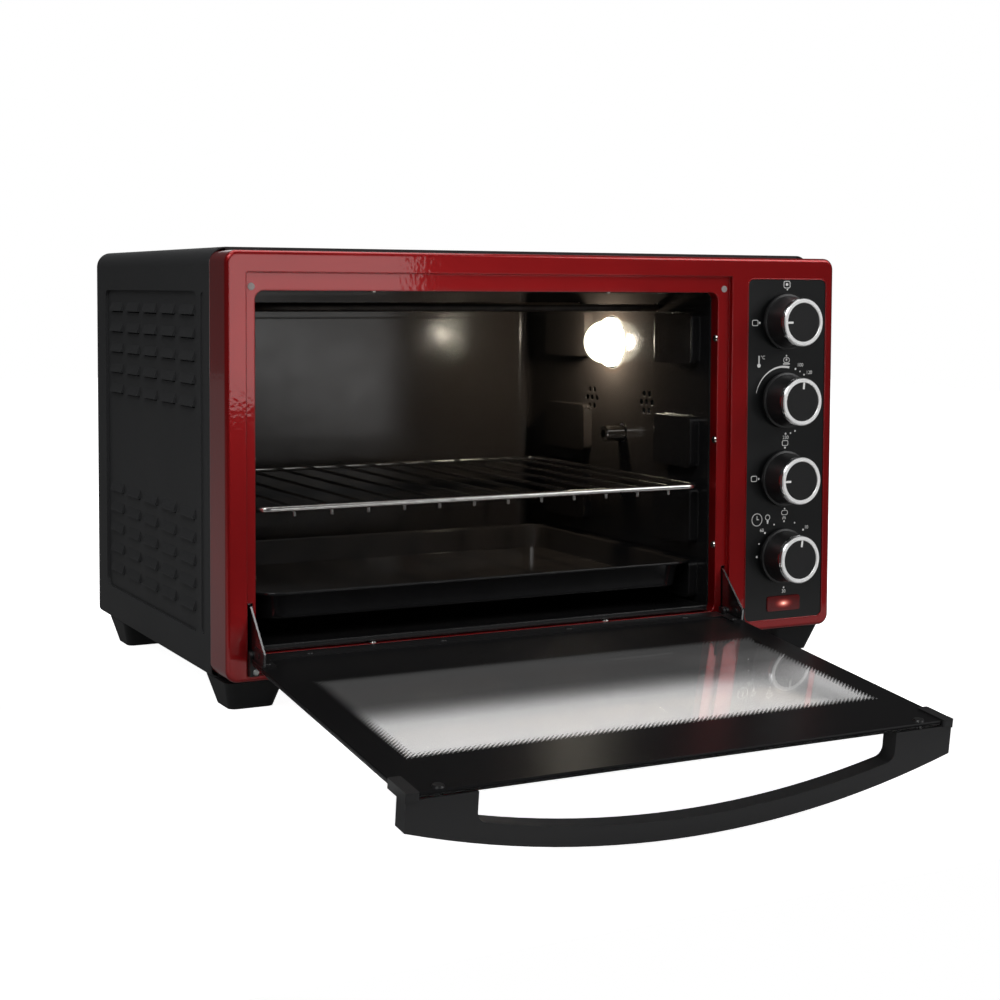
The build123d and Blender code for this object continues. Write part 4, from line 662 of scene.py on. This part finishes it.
# function switch: lamp and heat symbols above, below and to the left
box_mark(229.8 * mm, 325.2 * mm, 7 * mm, 6.4 * mm, 1.8 * mm)
dot(229.8 * mm, 325.4 * mm, 1.3 * mm)
dot(230.2 * mm, 320.9 * mm, 0.75 * mm)
box_mark(196.7 * mm, 292.1 * mm, 6.4 * mm, 5.2 * mm)
dot(201.4 * mm, 292.1 * mm, 0.95 * mm)
box_mark(230.4 * mm, 259.6 * mm, 6.6 * mm, 4.6 * mm, 1.8 * mm)
bar(230.4 * mm, 256.3 * mm, 7.2 * mm, 1.0 * mm)
dot(230.4 * mm, 259.9 * mm, 0.9 * mm)
dot(230.3 * mm, 263.4 * mm, 0.8 * mm)
# thermostat: thermometer, swelling arc, dots and temperatures
bar(201.2 * mm, 260.2 * mm, 1.3 * mm, 7.0 * mm)
dot(201.2 * mm, 255.2 * mm, 1.8 * mm)
number_mark("°C", 205.2 * mm, 262.0 * mm, degree_size)
swelling_arc(knob_x, knob_heights[1], arc_radius, arc_start, arc_end, arc_thin, arc_thick)
dot(240.2 * mm, 251.8 * mm, 1.0 * mm)
dot(245.1 * mm, 249.5 * mm, 0.7 * mm)
dot(249.5 * mm, 246.6 * mm, 0.8 * mm)
number_mark("100", 245.2 * mm, 255.1 * mm, degree_size)
number_mark("120", 254.9 * mm, 248.4 * mm, degree_size)
dot(240.6 * mm, 197.5 * mm, 0.8 * mm)
dot(235.8 * mm, 195.8 * mm, 0.8 * mm)
dot(230.5 * mm, 195.4 * mm, 1.0 * mm)
number_mark("230", 230.6 * mm, 192.0 * mm, degree_size)
# mode switch: three cavity symbols
box_mark(230.1 * mm, 187.2 * mm, 6.6 * mm, 4.8 * mm)
dot(230.1 * mm, 183.2 * mm, 0.95 * mm)
box_mark(197.6 * mm, 157.2 * mm, 6.4 * mm, 5.2 * mm)
dot(202.5 * mm, 157.0 * mm, 0.95 * mm)
dot(230.6 * mm, 129.6 * mm, 0.8 * mm)
box_mark(230.6 * mm, 126.2 * mm, 7.0 * mm, 4.4 * mm, 2.0 * mm)
# timer: clock and lamp symbols, dots and minutes
ring_mark(201.3 * mm, 121.3 * mm, 5.6 * mm)
bar(201.3 * mm, 123.0 * mm, 0.7 * mm, 3.2 * mm)
bar(202.2 * mm, 121.4 * mm, 2.4 * mm, 0.7 * mm)
ring_mark(212.6 * mm, 122.8 * mm, 2.6 * mm)
bar(212.6 * mm, 119.4 * mm, 2.0 * mm, 1.6 * mm)
dot(212.6 * mm, 117.9 * mm, 0.7 * mm)
for strand in (-1, 0, 1):
    bar(230.2 * mm + strand * strand_gap, 121.6 * mm, 0.5 * mm, 2.6 * mm, strand * strand_lean)
dot(230.2 * mm, 118.6 * mm, 0.85 * mm)
dot(219.5 * mm, 116.2 * mm, 0.7 * mm)
dot(241.6 * mm, 116.6 * mm, 0.7 * mm)
dot(251.0 * mm, 109.9 * mm, 0.95 * mm)
number_mark("10", 254.4 * mm, 112.0 * mm, minute_size)
dot(209.9 * mm, 109.4 * mm, 0.95 * mm)
number_mark("60", 206.6 * mm, 111.8 * mm, minute_size)
dot(203.8 * mm, 100.2 * mm, 0.7 * mm)
dot(201.6 * mm, 88.9 * mm, 0.95 * mm)
dot(230.7 * mm, 60.2 * mm, 0.85 * mm)
number_mark("30", 230.7 * mm, 56.8 * mm, minute_size)
bmesh.ops.solidify(print_shape, geom=print_shape.faces[:], thickness=ink_depth)
bmesh.ops.recalc_face_normals(print_shape, faces=print_shape.faces)
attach(keep_mesh("panel_print", print_shape, white_ink), "oven")

# Knobs: hollow bodies moulded in satin black ABS, pushed on their shafts.
# The skin has a fine spark grain that gives a soft, even sheen on the flat face.
knob_grain = 0.4545 * mm
knob_black, tree = new_material("satin_black_abs_knob")
place = add(tree, "ShaderNodeTexCoord").outputs["Object"]
grain = add(tree, "ShaderNodeTexNoise", Vector=place, Scale=1 / knob_grain, Detail=2.0)
shade = add(tree, "ShaderNodeMapRange", Value=grain.outputs[0], To_Min=0.34, To_Max=0.42)
tone = add(tree, "ShaderNodeMix", {"data_type": "RGBA"}, Factor=grain.outputs[0],
           i6=linear("#141415"), i7=linear("#1b1b1c"))
bump = add(tree, "ShaderNodeBump", Height=grain.outputs[0], Strength=0.12, Distance=0.05 * mm)
moulded = add(tree, "ShaderNodeBsdfPrincipled", Base_Color=tone.outputs[2], Roughness=shade.outputs[0],
              Normal=bump.outputs[0])
finish_material(knob_black, moulded.outputs[0])

# Knob rings: turned aluminium, chromed; the flat land on the front is satin, the side is polished.
# The satin land carries a painted highlight, a pure white base and a white diffuse face mixed over it,
# while the side mirrors the studio in streaks.
land_front, land_rear = -28.75 * mm, -27.6 * mm
land_roughness = 0.4
land_painted_highlight = 0.7
polish_smear = 8.33 * mm
chrome, tree = new_material("chromed_ring")
place = add(tree, "ShaderNodeTexCoord").outputs["Object"]
apart = add(tree, "ShaderNodeSeparateXYZ", Vector=place)
land = add(tree, "ShaderNodeMapRange", Value=apart.outputs[1], From_Min=land_front, From_Max=land_rear,
           To_Min=1.0, To_Max=0.0)
smear = add(tree, "ShaderNodeTexNoise", Vector=place, Scale=1 / polish_smear, Detail=2.0)
polish = add(tree, "ShaderNodeMapRange", Value=smear.outputs[0], To_Min=0.08, To_Max=0.18)
satin = add(tree, "ShaderNodeMath", {"operation": "MULTIPLY_ADD"}, i0=land.outputs[0], i1=land_roughness,
            i2=polish.outputs[0])
# painted highlight: the base colour runs to pure white on the front land
tone = add(tree, "ShaderNodeMix", {"data_type": "RGBA"}, Factor=land.outputs[0],
           i6=linear("#c9cacb"), i7=linear("#ffffff"))
plating = add(tree, "ShaderNodeBsdfPrincipled", Base_Color=tone.outputs[2], Metallic=1.0,
              Roughness=satin.outputs[0])
# painted highlight: a white diffuse face, mixed in seven tenths strong over the front land
painted_highlight_face = add(tree, "ShaderNodeBsdfPrincipled", Base_Color=linear("#fbfbfa"), Roughness=0.5)
painted_highlight_share = add(tree, "ShaderNodeMath", {"operation": "MULTIPLY"}, i0=land.outputs[0], i1=land_painted_highlight)
ring_shader = add(tree, "ShaderNodeMixShader", i0=painted_highlight_share.outputs[0], i1=plating.outputs[0],
                  i2=painted_highlight_face.outputs[0])
finish_material(chrome, ring_shader.outputs[0])

# Knob pointers: a short white line on each face, from near the ring inwards, in the panel's white ink.
# At rest the first and third knob point left, the thermostat and the timer almost straight up.
pointer_inner = 10.8 * mm
pointer_outer = 16.6 * mm
pointer_width = 1.9 * mm
pointer_level = -28.05 * mm
pointer_corner = 0.6 * mm
pointer_thickness = 0.2 * mm
pointer_angles = (math.radians(181), math.radians(85), math.radians(181), math.radians(83))
for number, (height, angle) in enumerate(zip(knob_heights, pointer_angles), start=1):
    pointer_shape = bmesh.new()
    along = Matrix.Rotation(angle, 4, "Z") @ Matrix.Translation(((pointer_inner + pointer_outer) / 2, 0, 0))
    line_size = Matrix.Diagonal((pointer_outer - pointer_inner, pointer_width, 1, 1))
    line_place = print_plane(knob_x, height, pointer_level) @ along @ line_size
    verts = bmesh.ops.create_grid(pointer_shape, x_segments=1, y_segments=1, size=0.5,
                                  matrix=line_place)["verts"]
    bmesh.ops.bevel(pointer_shape, geom=verts, offset=pointer_corner, segments=4, profile=0.5,
                    affect="VERTICES", material=-1)
    bmesh.ops.solidify(pointer_shape, geom=pointer_shape.faces[:], thickness=pointer_thickness)
    bmesh.ops.recalc_face_normals(pointer_shape, faces=pointer_shape.faces)
    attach(keep_mesh(f"pointer_{number}", pointer_shape, white_ink), f"control_{number}")
    dress(knob_black, f"knob_{number}")
    dress(chrome, f"knob_{number}_ring")

# Indicator lens: clear red polycarbonate over a small neon lamp, lit while the oven heats.
# It is dark red at its ends and burns to orange white where the lamp stands behind it.
lens_centre = (230.3 * mm, 46.5 * mm)
lens_reach = (13 * mm, 6 * mm)
lens_falloff = 3.0
lens_peak, lens_rest = 2.2, 0.03
lens_red, tree = new_material("red_polycarbonate_lens")
place = add(tree, "ShaderNodeTexCoord").outputs["Object"]
centred = add(tree, "ShaderNodeMapping", Vector=place,
              Location=(-lens_centre[0] / lens_reach[0], 0, -lens_centre[1] / lens_reach[1]),
              Scale=(1 / lens_reach[0], 0, 1 / lens_reach[1]))
away = add(tree, "ShaderNodeVectorMath", {"operation": "LENGTH"}, i0=centred.outputs[0])
near = add(tree, "ShaderNodeMapRange", Value=away.outputs["Value"], To_Min=1.0, To_Max=0.0)
burn = add(tree, "ShaderNodeMath", {"operation": "POWER"}, i0=near.outputs[0], i1=lens_falloff)
light = add(tree, "ShaderNodeMath", {"operation": "MULTIPLY_ADD"}, i0=burn.outputs[0], i1=lens_peak,
            i2=lens_rest)
tint = add(tree, "ShaderNodeMix", {"data_type": "RGBA"}, Factor=burn.outputs[0],
           i6=linear("#b80a0a"), i7=linear("#ffc4b0"))
lens = add(tree, "ShaderNodeBsdfPrincipled", Base_Color=linear("#4a0506"), Roughness=0.12,
           Emission_Color=tint.outputs[2], Emission_Strength=light.outputs[0])
finish_material(lens_red, lens.outputs[0])
dress(lens_red, "indicator_lens")

# Hinges: glass-filled nylon bearing blocks screwed to the frame, and a steel strip that clamps the pane.
# Strip, rivets and handle screws are blackened. The bumpers are soft grey silicone studs.
black_grain = 1.111 * mm
hinge_black, tree = new_material("blackened_hinge_parts")
place = add(tree, "ShaderNodeTexCoord").outputs["Object"]
grain = add(tree, "ShaderNodeTexNoise", Vector=place, Scale=1 / black_grain, Detail=2.0)
shade = add(tree, "ShaderNodeMapRange", Value=grain.outputs[0], To_Min=0.26, To_Max=0.4)
tone = add(tree, "ShaderNodeMix", {"data_type": "RGBA"}, Factor=grain.outputs[0],
           i6=linear("#101011"), i7=linear("#1a1a1b"))
bump = add(tree, "ShaderNodeBump", Height=grain.outputs[0], Strength=0.15, Distance=0.05 * mm)
blackened = add(tree, "ShaderNodeBsdfPrincipled", Base_Color=tone.outputs[2], Roughness=shade.outputs[0],
                Normal=bump.outputs[0])
finish_material(hinge_black, blackened.outputs[0])
dress(hinge_black, "hinge_bearings", "hinge_strip", "door_rivets", "handle_screws")

silicone_bloom = 2 * mm
soft_grey, tree = new_material("grey_silicone_bumper")
place = add(tree, "ShaderNodeTexCoord").outputs["Object"]
bloom = add(tree, "ShaderNodeTexNoise", Vector=place, Scale=1 / silicone_bloom, Detail=2.0)
tone = add(tree, "ShaderNodeMix", {"data_type": "RGBA"}, Factor=bloom.outputs[0],
           i6=linear("#a39a99"), i7=linear("#8b8281"))
silicone = add(tree, "ShaderNodeBsdfPrincipled", Base_Color=tone.outputs[2], Roughness=0.45)
finish_material(soft_grey, silicone.outputs[0])
dress(soft_grey, "door_bumpers")

# Door pane: clear tempered glass with a black ceramic border fired on its inner side, on top when open.
# The border ends in a band of staggered dots that shrink towards the clear window.
door_tilt = math.radians(6.5)
pivot_y, pivot_z = 2 * mm, 42.7 * mm
window_middle_x = -44.1 * mm
window_middle_reach = 149 * mm
window_half_width = 193 * mm
window_half_reach = 82 * mm
pane_thickness = 4 * mm
dot_row = 3.7 * mm
dot_band = 9 * mm
largest_dot, smallest_dot = 0.6, 0.2
run, rise = math.cos(door_tilt), math.sin(door_tilt)
pane, tree = new_material("printed_tempered_glass")
place = add(tree, "ShaderNodeTexCoord").outputs["Object"]
rays = add(tree, "ShaderNodeLightPath")
glass = add(tree, "ShaderNodeBsdfPrincipled", Base_Color=linear("#d8d8d8"), Roughness=0.01,
            Transmission_Weight=1.0, IOR=1.3)
passing = add(tree, "ShaderNodeBsdfTransparent", Color=linear("#e2e2e2"))
clear = add(tree, "ShaderNodeMixShader", i0=rays.outputs["Is Shadow Ray"], i1=glass.outputs[0],
            i2=passing.outputs[0])
frit = add(tree, "ShaderNodeBsdfPrincipled", Base_Color=linear("#121213"), Roughness=0.3,
           Specular_IOR_Level=0.06)
# reach runs along the open pane from the hinge, and height across its thickness from the top face
apart = add(tree, "ShaderNodeSeparateXYZ", Vector=place)
reach_from_y = add(tree, "ShaderNodeMath", {"operation": "MULTIPLY_ADD"}, i0=apart.outputs[1],
                   i1=-run, i2=pivot_y * run + pivot_z * rise)
reach = add(tree, "ShaderNodeMath", {"operation": "MULTIPLY_ADD"}, i0=apart.outputs[2], i1=-rise,
            i2=reach_from_y.outputs[0])
across = add(tree, "ShaderNodeMath", {"operation": "SUBTRACT"}, i0=apart.outputs[0], i1=window_middle_x)
along = add(tree, "ShaderNodeMath", {"operation": "SUBTRACT"}, i0=reach.outputs[0], i1=window_middle_reach)
# inset is how far a point lies inside the clear window; the dots sit in the middles of diagonal cells
insets = []
offsets = []
for distance, half, slant in ((across, window_half_width, "ADD"), (along, window_half_reach, "SUBTRACT")):
    size = add(tree, "ShaderNodeMath", {"operation": "ABSOLUTE"}, i0=distance.outputs[0])
    insets.append(add(tree, "ShaderNodeMath", {"operation": "SUBTRACT"}, i0=half, i1=size.outputs[0]))
    diagonal = add(tree, "ShaderNodeMath", {"operation": slant}, i0=across.outputs[0], i1=along.outputs[0])
    cell = add(tree, "ShaderNodeMath", {"operation": "MULTIPLY"}, i0=diagonal.outputs[0], i1=1 / dot_row)
    part = add(tree, "ShaderNodeMath", {"operation": "FRACT"}, i0=cell.outputs[0])
    offsets.append(add(tree, "ShaderNodeMath", {"operation": "SUBTRACT"}, i0=part.outputs[0], i1=0.5))
inset = add(tree, "ShaderNodeMath", {"operation": "MINIMUM"}, i0=insets[0].outputs[0],
            i1=insets[1].outputs[0])
spot = add(tree, "ShaderNodeCombineXYZ", X=offsets[0].outputs[0], Y=offsets[1].outputs[0])
from_spot = add(tree, "ShaderNodeVectorMath", {"operation": "LENGTH"}, i0=spot.outputs[0])
spot_size = add(tree, "ShaderNodeMapRange", Value=inset.outputs[0], From_Min=0.0, From_Max=dot_band,
                To_Min=largest_dot, To_Max=smallest_dot)
in_spot = add(tree, "ShaderNodeMath", {"operation": "LESS_THAN"}, i0=from_spot.outputs["Value"],
              i1=spot_size.outputs[0])
in_band = add(tree, "ShaderNodeMath", {"operation": "LESS_THAN"}, i0=inset.outputs[0], i1=dot_band)
dotted = add(tree, "ShaderNodeMath", {"operation": "MULTIPLY"}, i0=in_spot.outputs[0],
             i1=in_band.outputs[0])
border = add(tree, "ShaderNodeMath", {"operation": "LESS_THAN"}, i0=inset.outputs[0], i1=0.0)
pattern = add(tree, "ShaderNodeMath", {"operation": "MAXIMUM"}, i0=dotted.outputs[0], i1=border.outputs[0])
height_from_y = add(tree, "ShaderNodeMath", {"operation": "MULTIPLY_ADD"}, i0=apart.outputs[1],
                    i1=-rise, i2=pivot_y * rise - pivot_z * run)
height = add(tree, "ShaderNodeMath", {"operation": "MULTIPLY_ADD"}, i0=apart.outputs[2], i1=run,
             i2=height_from_y.outputs[0])
on_top = add(tree, "ShaderNodeMath", {"operation": "GREATER_THAN"}, i0=height.outputs[0],
             i1=-pane_thickness / 2)
printed = add(tree, "ShaderNodeMath", {"operation": "MULTIPLY"}, i0=pattern.outputs[0],
              i1=on_top.outputs[0])
pane_shader = add(tree, "ShaderNodeMixShader", i0=printed.outputs[0], i1=clear.outputs[0],
                  i2=frit.outputs[0])
finish_material(pane, pane_shader.outputs[0])
dress(pane, "door_glass")

# Handle and corner clips: heat-proof phenolic, moulded with a fine leather grain, the handle screwed
# through the pane. The grain, about a third of a millimetre, spreads the highlight along the bow.
leather_grain = 0.35 * mm
handling_patch = 40 * mm
phenolic, tree = new_material("black_phenolic_moulding")
place = add(tree, "ShaderNodeTexCoord").outputs["Object"]
grain = add(tree, "ShaderNodeTexNoise", Vector=place, Scale=1 / leather_grain, Detail=2.0)
cloud = add(tree, "ShaderNodeTexNoise", Vector=place, Scale=1 / handling_patch, Detail=2.0)
shade = add(tree, "ShaderNodeMapRange", Value=cloud.outputs[0], To_Min=0.32, To_Max=0.42)
tone = add(tree, "ShaderNodeMix", {"data_type": "RGBA"}, Factor=grain.outputs[0],
           i6=linear("#1a1a1b"), i7=linear("#232324"))
bump = add(tree, "ShaderNodeBump", Height=grain.outputs[0], Strength=0.2, Distance=0.05 * mm)
moulded = add(tree, "ShaderNodeBsdfPrincipled", Base_Color=tone.outputs[2], Roughness=shade.outputs[0],
              Specular_IOR_Level=0.3, Normal=bump.outputs[0])
finish_material(phenolic, moulded.outputs[0])
dress(phenolic, "door_handle", "corner_clips")
